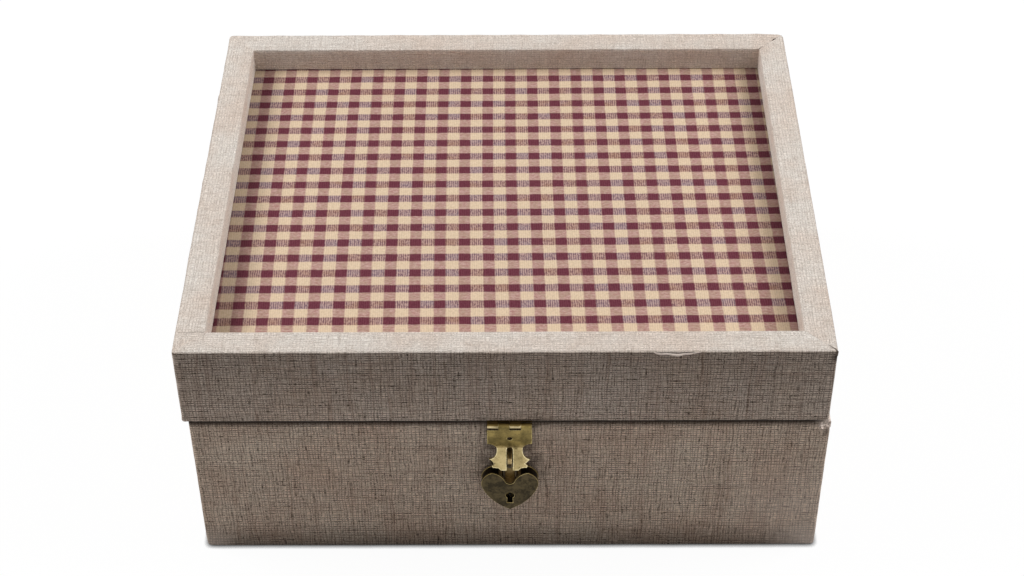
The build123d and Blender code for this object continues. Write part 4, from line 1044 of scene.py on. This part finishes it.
def dressed(name, face, rim, width, border=None):
    """A copy of a solid with rounded edges in their own material.

    Border is (width, material, height it ends at) of a rubbed, paler border round the front
    face, partly a painted highlight.
    """
    bm = bmesh.new()
    bm.from_mesh(nodes[name].data)
    bmesh.ops.remove_doubles(bm, verts=bm.verts, dist=MERGE)
    bmesh.ops.dissolve_limit(bm, angle_limit=radians(0.5), verts=bm.verts, edges=bm.edges)
    for flat in bm.faces:
        flat.material_index = 0
        flat.smooth = True
    if border:
        border_wide, border_material, border_top = border
        front = [f for f in bm.faces if f.normal.y < -0.5 and f.normal.z > -0.4
                 and f.calc_center_median().z < border_top]
        ring = bmesh.ops.inset_region(bm, faces=front, thickness=border_wide, use_even_offset=True)
        for flat in ring["faces"]:
            flat.smooth = True
            flat.material_index = 2 if flat.calc_center_median().z < border_top else 0
    mesh = bpy.data.meshes.new(name + "_dressed")
    bm.to_mesh(mesh)
    bm.free()
    for material in (face, rim, border_material) if border else (face, rim):
        mesh.materials.append(material)
    piece = bpy.data.objects.new(name + "_dressed", mesh)
    bpy.context.scene.collection.objects.link(piece)
    bevel = piece.modifiers.new("rubbed_edges_painted_highlight", "BEVEL")
    bevel.width = width
    bevel.segments = 2
    bevel.limit_method = "ANGLE"
    bevel.angle_limit = radians(BEVEL_FROM)
    bevel.material = 1
    evened = piece.modifiers.new("flat_faces_shade_flat", "WEIGHTED_NORMAL")
    evened.keep_sharp = False
    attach(piece, node_body[name])
    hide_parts(name)
    return piece


dressed("hasp_leaf", hasp_brass, hasp_rim, 0.30 * MM,
        border=(0.35 * MM, hasp_border, 84.2 * MM))
for name, face, rim, width, slot in [
    ("hasp_lid_leaf", barrel_brass, barrel_brass, 0.08, "hasp_brass"),
    ("hasp_pin", barrel_brass, barrel_brass, 0.05, "hasp_brass"),
    ("staple_plate", staple_brass, hasp_rim, 0.10, "hasp_brass"),
    ("staple_loop", staple_brass, staple_rim, 0.28, "hasp_brass"),
    ("lock_front_plate", lock_brass, lock_rim, 0.16, "lock_brass"),
    ("lock_back_plate", lock_back, lock_rim, 0.16, "lock_brass"),
    ("lock_case_band", lock_side, lock_side, 0.06, "lock_brass"),
    ("lock_shackle", steel, steel_rim, 0.05, "steel"),
    ("lock_case_rivets", lock_brass, lock_rim, 0.05, "lock_brass"),
]:
    dressed(name, face, rim, width * MM)
for side in ("left", "right"):
    for leaf in ("body", "lid"):
        dressed(f"{side}_hinge_{leaf}_leaf", hinge_brass, hinge_rim, 0.12 * MM)
    dressed(f"{side}_hinge_pin", hinge_brass, hinge_rim, 0.15 * MM)
for name in ("hinge_body_screws", "hinge_lid_screws"):
    dressed(name, hinge_brass, hinge_rim, 0.12 * MM)

# %% [markdown]
# ## Boards, linings and papers
#
# Under the linen are grey boards pressed from wood pulp. Inside, the raw edges of the linen
# are hidden by lining cards covered in plain ivory paper, and a sheet of brown paper covers
# the base. These keep their solids' own shapes and get a finish of their own.

# %% Paper and board materials
def pulp(name, sheet, fibre, roughness, fibre_mm, relief_mm):
    """Paper or board: an even sheet with short fibres pressed into it."""
    material, tree = new_material(name)
    mm = add(tree, "VectorMath", [add(tree, "TexCoord", out="Object"), IN_MM], operation="MULTIPLY")
    warped = add(tree, "TexNoise", {"Vector": mm, "Scale": 0.12, "Detail": 2.0}, out="Color")
    warped = add(tree, "VectorMath", {"Vector": warped, "Scale": 6.0}, operation="SCALE")
    place = add(tree, "VectorMath", [mm, warped], operation="ADD")
    pressed_in = {"Vector": place, "Scale": 1 / fibre_mm, "Detail": 4.0, "Distortion": 2.5}
    fibres = add(tree, "TexNoise", pressed_in)
    share = add(tree, "MapRange", [fibres, 0.48, 0.70, 0.0, 0.8])
    colour = add(tree, "Mix", {"Factor_Float": share, "A_Color": sheet, "B_Color": fibre}, **BLEND)
    cloud = add(tree, "TexNoise", {"Vector": mm, "Scale": 0.03, "Detail": 3.0})
    light = add(tree, "MapRange", [cloud, 0.3, 0.7, 0.97, 1.02])
    colour = add(tree, "VectorMath", {"Vector": colour, "Scale": light}, operation="SCALE")
    bump = add(tree, "Bump", {"Height": fibres, "Strength": 0.4, "Distance": relief_mm * MM})
    surface = add(tree, "BsdfPrincipled", {"Base Color": colour, "Roughness": roughness, "Normal": bump,
                                           "Specular IOR Level": 0.25})
    add(tree, "OutputMaterial", {"Surface": surface})
    return material


grey_board = pulp("pressed_grey_board", "9b8f80", "7d7163", 0.9, 1.4, 0.08)
glued_board = pulp("glue_stained_board", "4b3d31", "382d24", 0.9, 1.4, 0.08)
ivory_paper = pulp("ivory_lining_paper", "e9e0cf", "d8cdb8", 0.75, 0.9, 0.03)
brown_paper = pulp("brown_base_paper", "7a634c", "5f4c3a", 0.85, 1.1, 0.04)
print("papers and boards:", [m.name for m in (grey_board, glued_board, ivory_paper, brown_paper)])

# %% Finish the pieces that keep their shape
def finish(names, material):
    """Gives CAD nodes that keep their shape a finish."""
    for name in names:
        node = nodes[name]
        if not node.material_slots:
            node.data.materials.append(material)
        for place in node.material_slots:
            place.material = material


finish([n for n in nodes if n.endswith("_wall") or n in ("base_board", "lid_panel")], grey_board)
finish([n for n in nodes if n.startswith("frame_")], glued_board)
finish([n for n in nodes if n.endswith("_lining")], ivory_paper)
finish(["base_paper"], brown_paper)
finish(["staple_nails", "hasp_screws"], hasp_brass)
# The key post inside the keyhole is near black: painted shade.
finish(["lock_key_post"], lock_inside)
finish(["lock_heel_guide", "lock_bolt_pins", "lock_bolt"], lock_brass)
finish(["lock_bolt_spring"], steel)
print("finished", len(nodes), "construction pieces")
